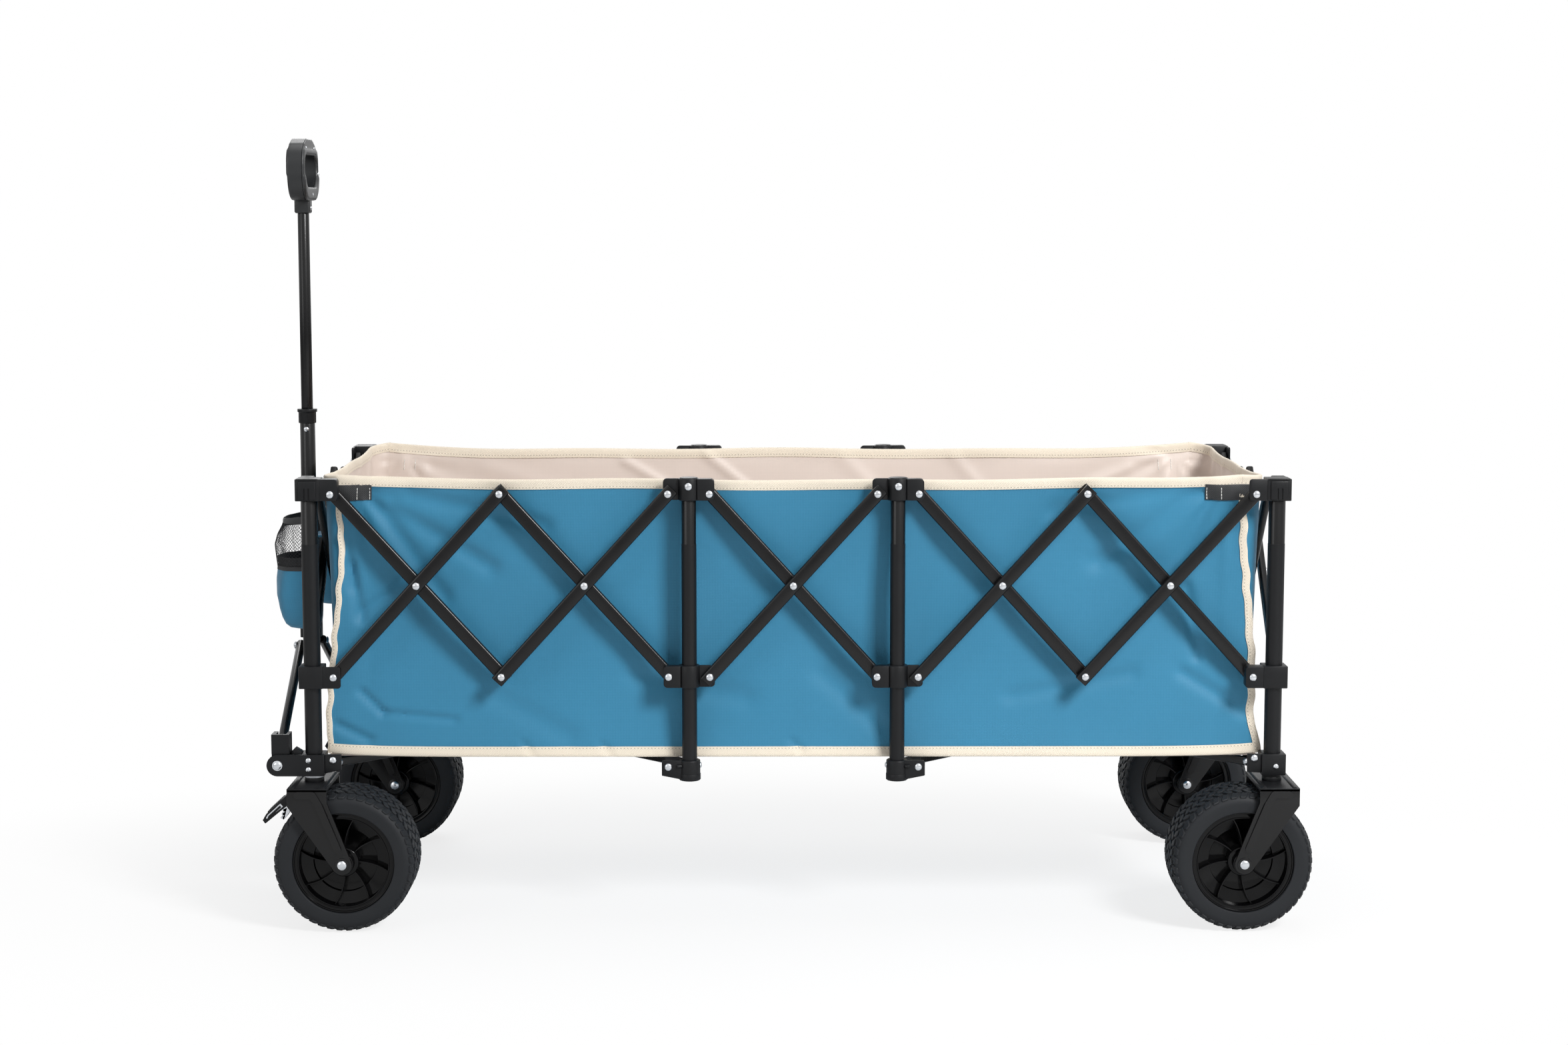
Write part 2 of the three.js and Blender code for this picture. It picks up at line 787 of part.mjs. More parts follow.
// A rod from its pin in the block (at the origin) to its pin in front of or behind the
// connector's plate.
function handleRod(dy, shift) {
  const reach = new THREE.Vector3(shift, dy * rodReach, rodRise);
  const length = reach.length();
  const turn = new THREE.Quaternion().setFromUnitVectors(
    new THREE.Vector3(0, 1, 0),
    reach.clone().normalize(),
  );
  const geometry = new THREE.CylinderGeometry(rodRadius, rodRadius, length + 2 * rodEnd, 8);
  geometry.translate(0, length / 2, 0);
  geometry.applyQuaternion(turn);
  const hole = rodPinRadius + boreGap;
  return solid(geometry)
    .subtract(cylinderAlongX(hole, -rodRadius * 2, rodRadius * 2, 0, 0, 8))
    .subtract(cylinderAlongX(hole, shift - rodRadius * 2, shift + rodRadius * 2, reach.y, reach.z, 8));
}

// The outer tube with its moulded connector: a plate between the rods with the near rod's pin,
// a socket, and a flared collar at the top. The far rod is left free of the plate.
function outerTube() {
  const plateHalf = connectorPlate / 2;
  const pinHead = -rodSwing - rodRadius - boreGap;
  const reach = connectorPinHalf + connectorEnd;
  const body = join(
    plateAcrossX(
      cutRectangle(
        -reach,
        reach,
        connectorPinHeight - connectorEnd,
        connectorPinHeight + 2 * connectorEnd,
        connectorCorner,
      ),
      -plateHalf,
      plateHalf,
    ),
    plateAcrossZ(
      cutRectangle(-socketHalf, socketHalf, -socketHalf, socketHalf, flangeCorner),
      connectorPinHeight + connectorEnd,
      socketTop,
    ),
    uprightCylinder(outerTubeRadius, socketTop - 1, outerTubeTop),
    uprightCylinder(collarRadius, outerTubeTop - collarLength, outerTubeTop),
    uprightCylinder(collarRadius + collarLip, outerTubeTop - 2 * collarLip, outerTubeTop + collarLip),
    cylinderAlongX(rodPinRadius, pinHead - 1, 1 - plateHalf, -connectorPinHalf, connectorPinHeight, 8),
    cylinderAlongX(
      rodPinHeadRadius,
      pinHead - rodPinHead,
      pinHead,
      -connectorPinHalf,
      connectorPinHeight,
      10,
    ),
  );
  return body.subtract(
    uprightCylinder(
      outerTubeRadius - outerTubeWall,
      connectorPinHeight + 2 * connectorEnd,
      outerTubeTop + 2 * collarLip,
    ),
  );
}

function innerTube() {
  return uprightCylinder(innerTubeRadius, innerTubeBottom, innerTubeTop).subtract(
    uprightCylinder(innerTubeRadius - innerTubeWall, innerTubeBottom - 1, innerTubeTop - 4),
  );
}

// The D-shaped grip, on a square collar that fits over the inner tube.
function grip() {
  const half = gripWidth / 2 - gripBevel;
  const [top, base] = [gripTop - gripBevel, gripCollarBase + 14 + gripBevel];
  const loop = new THREE.Shape();
  loop.moveTo(-gripNeckWidth / 2, base);
  loop.lineTo(gripNeckWidth / 2, base);
  loop.quadraticCurveTo(half, base + 6, half, base + 34);
  loop.quadraticCurveTo(half, top, half - 26, top);
  loop.lineTo(26 - half, top);
  loop.quadraticCurveTo(-half, top, -half, base + 34);
  loop.quadraticCurveTo(-half, base + 6, -gripNeckWidth / 2, base);
  const inner = gripBar - gripBevel;
  const hole = new THREE.Path();
  hole.moveTo(-gripNeckWidth / 2 + 8, base + inner - 4);
  hole.lineTo(gripNeckWidth / 2 - 8, base + inner - 4);
  hole.quadraticCurveTo(half - inner, base + inner, half - inner, base + 36);
  hole.quadraticCurveTo(half - inner, top - inner, half - inner - 14, top - inner);
  hole.lineTo(-half + inner + 14, top - inner);
  hole.quadraticCurveTo(-half + inner, top - inner, -half + inner, base + 36);
  hole.quadraticCurveTo(-half + inner, base + inner, -gripNeckWidth / 2 + 8, base + inner - 4);
  loop.holes.push(hole);
  const depth = gripDepth - 2 * gripBevel;
  const geometry = new THREE.ExtrudeGeometry(loop, {
    depth,
    bevelThickness: gripBevel,
    bevelSize: gripBevel,
    bevelSegments: 1,
    curveSegments: 3,
  });
  geometry.applyMatrix4(towardsX);
  geometry.translate(-depth / 2, 0, 0);
  const collarHalf = gripCollarWidth / 2;
  return solid(geometry)
    .add(
      plateAcrossZ(
        cutRectangle(-collarHalf, collarHalf, -collarHalf, collarHalf, flangeCorner),
        gripCollarBase,
        base + 2,
      ),
    )
    .subtract(uprightCylinder(innerTubeRadius + boreGap, gripCollarBase - 1, innerTubeTop + runningGap));
}

for (const [sideName, side, face] of [['near', -1, -1], ['far', 1, 1]]) {
  const y = side * halfWidth;
  addPiece(`handle_block_${sideName}`, handleBlock(-side), blackPlastic).position.set(0, y, 0);
  const shift = handleX + face * rodSwing - rodPinX;
  const rod = addPiece(`handle_rod_${sideName}`, handleRod(-side, shift), blackSteel);
  rod.position.set(rodPinX, y, rodPinHeight);
}
addPiece('handle_outer_tube', outerTube(), blackSteel).position.set(handleX, 0, 0);
addPiece('handle_inner_tube', innerTube(), blackSteel).position.set(handleX, 0, 0);
addPiece('handle_grip', grip(), blackPlastic).position.set(handleX, 0, 0);

// ---- Bag ----

// An open fabric shell whose end walls lean inwards to the rim, with a bottle pouch on each side
// of the handle and the folding frame of flat rods and hubs under its floor.
function bag() {
  const slope = (bagEndTop - bagEndBottom) / (bagRimHeight - bagFloorHeight);
  const outerAt = (z) => bagEndBottom + slope * (z - bagFloorHeight);
  const shell = outline([
    [outerAt(bagFloorHeight), bagFloorHeight],
    [wagonLength - outerAt(bagFloorHeight), bagFloorHeight],
    [wagonLength - outerAt(bagRimHeight), bagRimHeight],
    [outerAt(bagRimHeight), bagRimHeight],
  ]);
  const base = bagFloorHeight + bagFloorThickness;
  const foot = bagWall + outerAt(base + bagSeamRise);
  const head = bagWall + outerAt(bagRimHeight + bagWall);
  const hollow = outline([
    [foot, base],
    [wagonLength - foot, base],
    [wagonLength - foot, base + bagSeamRise],
    [wagonLength - head, bagRimHeight + bagWall],
    [head, bagRimHeight + bagWall],
    [foot, base + bagSeamRise],
  ]);
  const inside = bagHalfWidth - bagWall;
  let body = plateAcrossY(shell, -bagHalfWidth, bagHalfWidth).subtract(
    plateAcrossY(hollow, -inside, inside),
  );
  for (const side of [-1, 1]) {
    body = body.add(bottlePouch(side * pouchCentre, outerAt(pouchTabBase) + bagWall / 2));
  }
  for (const middle of [pairSpan / 2, wagonLength - pairSpan / 2]) {
    body = body.add(floorFrame(middle));
  }
  return body;
}

// A cup of fabric with a tab on the front wall, whose middle is at `wall`.
function bottlePouch(y, wall) {
  const pouch = (inset) => {
    const shape = new THREE.Shape();
    const depth = pouchBack - pouchFront - 2 * inset;
    const half = pouchHalfWidth - inset;
    shape.moveTo(pouchBack - inset, y + half);
    shape.lineTo(pouchBack - inset - depth * 0.3, y + half);
    shape.quadraticCurveTo(pouchFront + inset, y + half, pouchFront + inset, y);
    shape.quadraticCurveTo(pouchFront + inset, y - half, pouchBack - inset - depth * 0.3, y - half);
    shape.lineTo(pouchBack - inset, y - half);
    return shape;
  };
  return plateAcrossZ(pouch(0), pouchBottom, pouchTop, 4)
    .subtract(plateAcrossZ(pouch(pouchWall), pouchBottom + pouchWall, pouchTop + 1, 4))
    .add(
      block(
        pouchBack - pouchWall / 2,
        wall,
        y - pouchTabHalf,
        y + pouchTabHalf,
        pouchTabBase,
        pouchTabBase + pouchWall,
      ),
    );
}

// Four flat rods from the bottom brackets to a hub that carries the floor.
function floorFrame(middle) {
  const hub = new THREE.CylinderGeometry(hubDiscRadius, hubDiscRadius, hubDiscThickness, 16);
  hub.rotateX(Math.PI / 2);
  hub.translate(middle, 0, bagFloorHeight + 1 - hubDiscThickness / 2);
  let frame = solid(hub);
  for (const dx of [-1, 1]) {
    for (const dy of [-1, 1]) {
      const direction = hubDirection(dx, dy);
      const reach = Math.hypot(pairSpan / 2, halfWidth) - diagonalFlangeRivet + floorRodWidth / 2;
      const rod = new THREE.BoxGeometry(reach, floorRodThickness, floorRodWidth);
      const beside = flangeThickness / 2 + runningGap + floorRodThickness / 2;
      rod.translate(reach / 2, beside, floorRodHeight);
      rod.rotateZ(direction);
      rod.translate(middle, 0, 0);
      frame = frame.add(solid(rod));
    }
  }
  return frame;
}

addPiece('bag', bag(), blueOxford);

// ---- Centre the wagon on its length ----

const box = new THREE.Box3().setFromObject(wagon);
wagon.position.x = -(box.min.x + box.max.x) / 2;
wagon.updateMatrixWorld(true);

export default wagon;
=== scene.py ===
import json
import math

import bpy
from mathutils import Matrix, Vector


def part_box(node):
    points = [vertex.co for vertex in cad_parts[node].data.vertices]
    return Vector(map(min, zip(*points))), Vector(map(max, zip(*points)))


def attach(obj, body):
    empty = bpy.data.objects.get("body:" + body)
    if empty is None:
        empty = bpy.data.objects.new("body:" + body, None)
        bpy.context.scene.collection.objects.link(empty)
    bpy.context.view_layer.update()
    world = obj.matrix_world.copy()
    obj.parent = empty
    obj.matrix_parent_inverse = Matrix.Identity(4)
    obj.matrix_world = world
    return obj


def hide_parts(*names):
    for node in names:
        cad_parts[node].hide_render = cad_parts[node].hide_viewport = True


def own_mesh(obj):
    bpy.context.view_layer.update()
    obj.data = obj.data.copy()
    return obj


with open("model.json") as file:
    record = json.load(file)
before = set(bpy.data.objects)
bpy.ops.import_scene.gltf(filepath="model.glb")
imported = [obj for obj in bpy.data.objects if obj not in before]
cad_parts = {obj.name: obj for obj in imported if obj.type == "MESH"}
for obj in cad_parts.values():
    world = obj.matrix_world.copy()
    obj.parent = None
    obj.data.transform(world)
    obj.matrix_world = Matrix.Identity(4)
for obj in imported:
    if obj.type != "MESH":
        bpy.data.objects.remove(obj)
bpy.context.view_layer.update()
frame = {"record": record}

mm = 0.001


def in_scene(name, data):
    made = bpy.data.objects.new(name, data)
    bpy.context.scene.collection.objects.link(made)
    return made


# ---- Camera ----
# It stands 0.34 m above the rim and 3.4 m off the near side, about level with its middle,
# and looks down by 6.5 degrees, so the lining of the far side shows over the near rim.

camera_place, look_down, look_right = (-0.0164, -3.7062, 0.9249), 6.549, 0.212

lens = bpy.data.cameras.new("camera")
lens.lens = 62.3
lens.clip_end = 100
camera = in_scene("camera", lens)
camera.location = camera_place
camera.rotation_euler = (math.radians(90 - look_down), 0, -math.radians(look_right))
bpy.context.scene.camera = camera


# ---- Floor and light ----
# A seamless pale studio sweep. Two soft boxes stand in front, the stronger one to the right,
# with one behind and one overhead. An even white surround fills the shadows.

def linear(colour):
    """A hex colour, as written on a swatch, as the values a shader takes."""
    parts = [int(colour[i:i + 2], 16) / 255 for i in (1, 3, 5)]
    return (*[p / 12.92 if p < 0.04045 else ((p + 0.055) / 1.055) ** 2.4 for p in parts], 1)


def add_node(owner, kind, inputs=None, **settings):
    """A shader node with its settings, its fixed inputs and its links."""
    tree = owner.node_tree
    made = tree.nodes.new(kind)
    for setting, value in settings.items():
        setattr(made, setting, value)
    for socket, value in (inputs or {}).items():
        if isinstance(value, bpy.types.NodeSocket):
            tree.links.new(value, made.inputs[socket])
        else:
            made.inputs[socket].default_value = value
    return made


def calculated(owner, operation, *values):
    """One step of arithmetic on values and sockets, as a socket."""
    return add_node(owner, "ShaderNodeMath", dict(enumerate(values)), operation=operation).outputs[0]


def shown(owner, output, share, first, second):
    """Mixes two shaders by a share from 0 to 1 and links them to the output."""
    mixed = add_node(owner, "ShaderNodeMixShader", {0: share, 1: first.outputs[0], 2: second.outputs[0]})
    add_node(owner, output, {"Surface": mixed.outputs[0]})


def empty_material(name):
    made = bpy.data.materials.new(name)
    made.use_nodes = True
    made.node_tree.nodes.clear()
    return made


def deselect():
    bpy.ops.object.select_all(action="DESELECT")


sweep_paper = empty_material("Matt white sweep paper")
# To the camera the paper is its own white, with the wagon's soft shadow only near the wheels.
paper = add_node(sweep_paper, "ShaderNodeBsdfDiffuse", {"Color": linear("#f4f4f4")})
blank = add_node(sweep_paper, "ShaderNodeEmission", {"Color": (1, 1, 1, 1), "Strength": 1.0})
paper_rays = add_node(sweep_paper, "ShaderNodeLightPath").outputs
spot = add_node(sweep_paper, "ShaderNodeTexCoord").outputs["Object"]
oval = add_node(sweep_paper, "ShaderNodeMapping", {"Vector": spot, "Scale": (0.85, 1.5, 1)})
away = add_node(sweep_paper, "ShaderNodeVectorMath", {0: oval.outputs[0]}, operation="LENGTH")
share = add_node(
    sweep_paper,
    "ShaderNodeMapRange",
    {"Value": away.outputs["Value"], "From Min": 0.55, "From Max": 1.25, "To Min": 0.80, "To Max": 1.0},
    interpolation_type="SMOOTHSTEP",
)
seen = calculated(sweep_paper, "MULTIPLY", paper_rays["Is Camera Ray"], share.outputs[0])
shown(sweep_paper, "ShaderNodeOutputMaterial", seen, paper, blank)

deselect()
bpy.ops.mesh.primitive_plane_add(size=60, location=(0, 0, -0.0005))
floor = bpy.context.active_object
floor.name = "floor"
floor.data.materials.append(sweep_paper)

fill_light = 0.19
surround = bpy.data.worlds.new("surround")
bpy.context.scene.world = surround
surround.use_nodes = True
surround.node_tree.nodes.clear()
even = add_node(surround, "ShaderNodeBackground", {"Color": (1, 1, 1, 1), "Strength": fill_light})
white = add_node(surround, "ShaderNodeBackground", {"Color": (1, 1, 1, 1), "Strength": 1.0})
rays = add_node(surround, "ShaderNodeLightPath").outputs
straight = calculated(surround, "MAXIMUM", rays["Is Camera Ray"], rays["Is Transmission Ray"])
direct = calculated(surround, "MAXIMUM", straight, rays["Is Glossy Ray"])
shown(surround, "ShaderNodeOutputWorld", direct, even, white)

lit_point = Vector((0, 0, 0.35))
for name, at, size, watts in (
    ("soft_box_right", (2.0, -2.7, 2.7), 1.0, 165),
    ("soft_box_left", (-2.6, -2.4, 1.3), 1.4, 13),
    ("soft_box_back", (-0.8, 3.4, 2.4), 2.0, 45),
    ("top_box", (0.1, 0.5, 3.4), 2.4, 32),
):
    lamp = bpy.data.lights.new(name, "AREA")
    lamp.shape = "SQUARE"
    lamp.size = size
    lamp.energy = watts
    box = in_scene(name, lamp)
    box.location = at
    box.rotation_euler = (lit_point - Vector(at)).to_track_quat("-Z", "Y").to_euler()

bpy.context.scene.view_settings.view_transform = "Standard"


# ---- Places and tools ----
# Heights, lengths and the points of a shape are in millimetres. The places that come from the
# frame (joint_at, post_x, post_y) and where a piece is placed are in metres.

joint_at = {
    joint["name"]: Vector(joint["pos_m"])
    for joint in frame["record"]["behaviour"]["joints"]
    if "pos_m" in joint
}
upper_pivots, lower_pivots = joint_at["fold"].z / mm, joint_at["slider_front_near_fold"].z / mm


def middle(node):
    low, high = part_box(node)
    return (low + high) / 2


post_x = {
    "front": joint_at["front_bar_1_falling_fold"].x,
    "mid_front": middle("slider_mid_front_near").x,
    "mid_rear": middle("slider_mid_rear_near").x,
    "rear": joint_at["rear_bar_1_falling_fold"].x,
}
post_y = {"near": joint_at["caster_swivel_near"].y, "far": joint_at["caster_swivel_far"].y}


def select_only(*pieces):
    deselect()
    for piece in pieces:
        piece.select_set(True)
    bpy.context.view_layer.objects.active = pieces[0]


def block(low, high):
    """Square stock between two corners, in millimetres."""
    low, high = Vector(low) * mm, Vector(high) * mm
    deselect()
    bpy.ops.mesh.primitive_cube_add(size=1, location=(low + high) / 2, scale=high - low)
    bpy.ops.object.transform_apply(location=True, rotation=True, scale=True)
    return bpy.context.active_object


def rod(radius, start, end, sides=32):
    """Round stock from one point to another, in millimetres."""
    start, end = Vector(start) * mm, Vector(end) * mm
    deselect()
    bpy.ops.mesh.primitive_cylinder_add(
        vertices=sides,
        radius=radius * mm,
        depth=(end - start).length,
        location=(start + end) / 2,
        rotation=(end - start).to_track_quat("Z", "Y").to_euler(),
    )
    bpy.ops.object.transform_apply(location=True, rotation=True, scale=True)
    return bpy.context.active_object


def upright(radius, low, high, sides=48, x=0):
    return rod(radius, (x, 0, low), (x, 0, high), sides)


def crosswise(radius, x, z, low, high, sides=40):
    """Round stock along Y, round the line at x and z."""
    return rod(radius, (x, low, z), (x, high, z), sides)


def pick(piece, test, kind="FACE"):
    """Goes into edit mode with the faces (by middle and normal) or edges (by ends) that pass."""
    select_only(piece)
    bpy.ops.object.mode_set(mode="EDIT")
    bpy.ops.mesh.select_mode(type=kind)
    bpy.ops.mesh.select_all(action="DESELECT")
    bpy.ops.object.mode_set(mode="OBJECT")
    mesh = piece.data
    if kind == "FACE":
        for face in mesh.polygons:
            face.select = bool(test(face.center / mm, face.normal))
    else:
        for edge in mesh.edges:
            start, end = (mesh.vertices[i].co / mm for i in edge.vertices)
            edge.select = bool(test(start, end))
    bpy.ops.object.mode_set(mode="EDIT")


def leave_editing():
    bpy.ops.object.mode_set(mode="OBJECT")


def edit_all(piece):
    """Goes into edit mode with everything picked."""
    select_only(piece)
    bpy.ops.object.mode_set(mode="EDIT")
    bpy.ops.mesh.select_all(action="SELECT")


def slanted(piece, point, facing):
    """Saws a piece off beyond a plane through the point (millimetres)."""
    edit_all(piece)
    bpy.ops.mesh.bisect(
        plane_co=Vector(point) * mm, plane_no=Vector(facing).normalized(), use_fill=True, clear_outer=True
    )
    leave_editing()
    return piece


def bevelled(piece, test, width, segments):
    """Rounds the edges whose two ends pass."""
    pick(piece, test, "EDGE")
    bpy.ops.mesh.bevel(offset=width * mm, segments=segments, affect="EDGES")
    leave_editing()
    return piece


def stepped(*rings):
    """Insets the picked faces by each width, then pushes what is inside out by each rise."""
    for width, rise in rings:
        bpy.ops.mesh.inset(thickness=width * mm)
        if rise:
            bpy.ops.mesh.extrude_region_shrink_fatten(TRANSFORM_OT_shrink_fatten={"value": rise * mm})


def apply_modifier(piece, kind, **settings):
    select_only(piece)
    made = piece.modifiers.new(kind.lower(), kind)
    for setting, value in settings.items():
        setattr(made, setting, value)
    bpy.ops.object.modifier_apply(modifier=made.name)
    return piece


def soften(piece, width, segments=2, angle=35):
    """Rounds every edge that is sharper than the angle."""
    return apply_modifier(
        piece,
        "BEVEL",
        width=width * mm,
        segments=segments,
        limit_method="ANGLE",
        angle_limit=math.radians(angle),
        harden_normals=False,
    )


def joined(*pieces):
    select_only(*pieces)
    bpy.ops.object.join()
    return bpy.context.active_object


def copied(piece):
    return in_scene(piece.name, piece.data.copy())


def placed(piece, where=(0, 0, 0), turn=(0, 0, 0), mirror=(1, 1, 1)):
    """Mirrors, then turns (degrees), then moves a piece (metres), all into its mesh."""
    select_only(piece)
    piece.scale = mirror
    bpy.ops.object.transform_apply(location=False, rotation=False, scale=True)
    if mirror[0] * mirror[1] * mirror[2] < 0:
        edit_all(piece)
        bpy.ops.mesh.normals_make_consistent(inside=False)
        leave_editing()
    piece.rotation_euler = [math.radians(a) for a in turn]
    piece.location = where
    bpy.ops.object.transform_apply(location=True, rotation=True, scale=True)
    return piece


def set_at(piece, x, y, z, turn=0):
    """Turns a piece about Z in degrees, then moves it in millimetres."""
    return placed(piece, Vector((x, y, z)) * mm, (0, 0, turn))


def painted(piece, material):
    piece.data.materials.clear()
    piece.data.materials.append(material)
    return piece


def eased(piece, material, width, segments=2):
    return painted(soften(piece, width, segments), material)


def fitted(piece, name, body, slot, *nodes, smooth=32):
    """Names a finished piece and hands it to the body that carries it."""
    select_only(piece)
    bpy.ops.object.shade_smooth_by_angle(angle=math.radians(smooth))
    piece.name = name
    piece.data.name = name
    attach(piece, body)
    if nodes:
        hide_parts(*nodes)
    return piece


def noise(material, place, scale, detail):
    """Clouds or grain over a piece, from 0 to 1."""
    settings = {"Vector": place.outputs["Object"], "Scale": scale, "Detail": detail}
    return add_node(material, "ShaderNodeTexNoise", settings).outputs["Fac"]


def shade(colour, share, lift=0.0):
    """A hex colour made darker or lighter, as the values a shader takes."""
    return (*[min(1, c * share + lift) for c in linear(colour)[:3]], 1)


def blended(material, share, low, high):
    """The colour between two, which enter the mix at its sockets 6 and 7."""
    return add_node(material, "ShaderNodeMix", {0: share, 6: low, 7: high}, data_type="RGBA").outputs[2]


def surfaced(material, colour, roughness, height, strength, distance, **sockets):
    """Ends a material with its bump, its shader and its output. Returns the shader."""
    bump = add_node(
        material, "ShaderNodeBump", {"Height": height, "Strength": strength, "Distance": distance}
    )
    shader = add_node(
        material,
        "ShaderNodeBsdfPrincipled",
        {"Base Color": colour, "Roughness": roughness, "Normal": bump.outputs[0], **sockets},
    )
    add_node(material, "ShaderNodeOutputMaterial", {"Surface": shader.outputs[0]})
    return shader


def moulded(name, colour, roughness, grain, depth, tint=0.12, **sockets):
    """A material whose skin has a fine grain (millimetres) and a faint cloudiness of colour."""
    made = empty_material(name)
    place = add_node(made, "ShaderNodeTexCoord")
    cloud = noise(made, place, 22, 4)
    colours = blended(made, cloud, shade(colour, 1 - tint), shade(colour, 1 + tint, 0.002))
    skin = noise(made, place, 1000 / grain, 2)
    rough = add_node(
        made, "ShaderNodeMapRange", {"Value": cloud, "To Min": roughness - 0.06, "To Max": roughness + 0.06}
    )
    surfaced(made, colours, rough.outputs[0], skin, depth, 0.0002, **sockets)
    return made


# ---- Crossed bars ----
# Rolled rectangular steel tube with rounded edges, powder coated black, with a plug in each
# end. Domed rivets hold each crossing. Every bar is a copy of one.

# Polyester powder coat, sprayed and baked: satin black with a soft orange peel of about 2 mm.
powder_coat = moulded(
    "Satin black powder coat on steel", "#09090a", 0.25, 2.2, 0.14, **{"Specular IOR Level": 0.3}
)
# Bright zinc plating on cold-headed rivets: a grey mirror, slightly brushed by the tool.
zinc = moulded("Zinc-plated rivet steel", "#c9ccd0", 0.24, 0.9, 0.15, Metallic=1.0)
# Glass-filled nylon from a spark-eroded mould: charcoal, matt, with a fine even grain.
nylon = moulded("Black glass-filled nylon", "#0f1012", 0.42, 0.8, 0.35, **{"Specular IOR Level": 0.22})

bar_pitch, bar_end, bar_width, bar_thick = 320.4, 8.8, 17.0, 9.5
bar_angle = 47.7
layer = 7.05


def rivet(radius=5.0, rise=2.7):
    """A domed head on its flange, standing on the origin and facing -Y."""
    deselect()
    bpy.ops.mesh.primitive_uv_sphere_add(segments=20, ring_count=12, radius=radius * mm)
    head = slanted(bpy.context.active_object, (0, 0, 0), (0, 1, 0))
    edit_all(head)
    bpy.ops.transform.resize(value=(1, rise / radius, 1), center_override=(0, 0, 0))
    leave_editing()
    return painted(head, zinc)


rivet_head = rivet()


def rivet_at(x, y, z, turn=0):
    return set_at(copied(rivet_head), x, y, z, turn)


half_length = bar_pitch / 2 + bar_end
bar = block((-half_length, -bar_thick / 2, -bar_width / 2), (half_length, bar_thick / 2, bar_width / 2))
bevelled(bar, lambda a, b: abs(a.x - b.x) > 100, 3.0, 5)
pick(bar, lambda centre, normal: abs(normal.x) > 0.9)
stepped((1.2, -1.6), (0.5, 0))
leave_editing()
painted(soften(bar, 0.35, 1, 60), powder_coat)

for face, units, turn in (("near", 5, 0), ("far", 5, 180), ("front", 2, -90), ("rear", 2, 90)):
    inward = 1 if face in ("near", "front") else -1
    # Seen from outside each face, a rising bar climbs towards the far end of its X or Y.
    climb = bar_angle if face in ("near", "rear") else -bar_angle
    for unit in range(1, units + 1):
        for way, outside in (("rising", -1), ("falling", 1)):
            node = f"{face}_bar_{unit}_{way}"
            # Each bar has a rivet at the crossing and at each end that meets another bar's end.
            spots = [0] + [1] * (unit < units) + [-1] * (unit > 1)
            heads = [
                rivet_at(spot * bar_pitch / 2, outside * bar_thick / 2, 0, 0 if outside < 0 else 180)
                for spot in spots
            ]
            piece = placed(joined(copied(bar), *heads), turn=(0, outside * climb, 0))
            centre = middle(node)
            if face in post_y:
                centre.y = post_y[face] + inward * outside * layer * mm
            else:
                centre.x = post_x[face] + inward * outside * layer * mm
            placed(piece, centre, (0, 0, turn))
            fitted(piece, f"{node}_dressed", node, "black_steel", node)
bpy.data.objects.remove(bar)


# ---- Posts and their moulded brackets ----
# Round steel tube in the bars' powder coat. A nylon bracket is riveted on each top and screwed
# on each foot, and a loose one slides between them and carries the lower ends of the bars.

def combined(piece, operation, tools):
    for tool in tools:
        apply_modifier(piece, "BOOLEAN", operation=operation, solver="EXACT", object=tool)
        bpy.data.objects.remove(tool)
    return piece


def fused(piece, *tools):
    return combined(piece, "UNION", tools)


def drilled(piece, *tools):
    return combined(piece, "DIFFERENCE", tools)


def screw_at(x, y, z, turn=0):
    """A domed screw with a cross recess, facing -Y before the turn."""
    head = rivet(3.7, 2.0)
    for low, high in (((-0.4, -3, -1.8), (0.4, -1.1, 1.8)), ((-1.8, -3, -0.4), (1.8, -1.1, 0.4))):
        drilled(head, block(low, high))
    return set_at(head, x, y, z, turn)


sleeve_half, corner_reach, corner_pivot = 15.6, 38.5, 29.0
mid_sleeve, mid_reach, mid_pivot = 13.7, 33.0, 26.5
corner_face, mid_face = 0.7 - sleeve_half, -10.4
corner_tube, mid_tube, tube_top = 10.65, 9.4, 583
top_low, top_high = 556.5, 585.0
foot_low, foot_high = 199.5, 227.5
cap_low, cap_high = 191.3, 218.3
slider_low, slider_high = lower_pivots - 14.5, lower_pivots + 14.5
bolt_x, bolt_z = -45, 213.5
yoke_inside, yoke_outside = 12.1, 16.2


def flange(low, high, round_x, radius=4.0):
    """A plate whose two corners at round_x are rounded in its own plane."""
    thin = 1 if high[1] - low[1] < high[0] - low[0] else 0
    end = 1 - thin

    def corner(a, b):
        return abs(a[thin] - b[thin]) > 0.5 and all(abs(p[end] - round_x) < 0.1 for p in (a, b))

    return bevelled(block(low, high), corner, radius, 5)


def corner_bracket(low, high, thick_side, thick_end):
    """A sleeve with a flange along each side of the corner, for the near front post."""
    side_depth, end_depth = (2.0 if thick else -12.1 for thick in (thick_side, thick_end))
    parts = [
        block((-sleeve_half, -sleeve_half, low), (sleeve_half, sleeve_half, high)),
        flange((12, corner_face, low + 0.3), (corner_reach, side_depth, high - 0.3), corner_reach),
        flange((corner_face, 12, low + 0.3), (end_depth, corner_reach, high - 0.3), corner_reach),
    ]
    return joined(*[eased(part, nylon, 1.1) for part in parts])


def corner_rivets(height):
    return [rivet_at(corner_pivot, corner_face, height), rivet_at(corner_face, corner_pivot, height, -90)]


def lock_panel():
    """The raised square on a top bracket's outer face, with two open slots."""
    panel = soften(block((-11.5, -17.6, top_low + 1.6), (11.5, -14, top_high - 2.6)), 1.3, 3)
    drilled(panel, *[block((x - 0.9, -19, top_low), (x + 0.9, -16.2, top_high - 12)) for x in (-3.2, 2.4)])
    lip = block((-13.4, -16.6, top_high - 1.9), (13.4, -10, top_high + 0.4))
    return joined(painted(panel, nylon), eased(lip, nylon, 0.7))


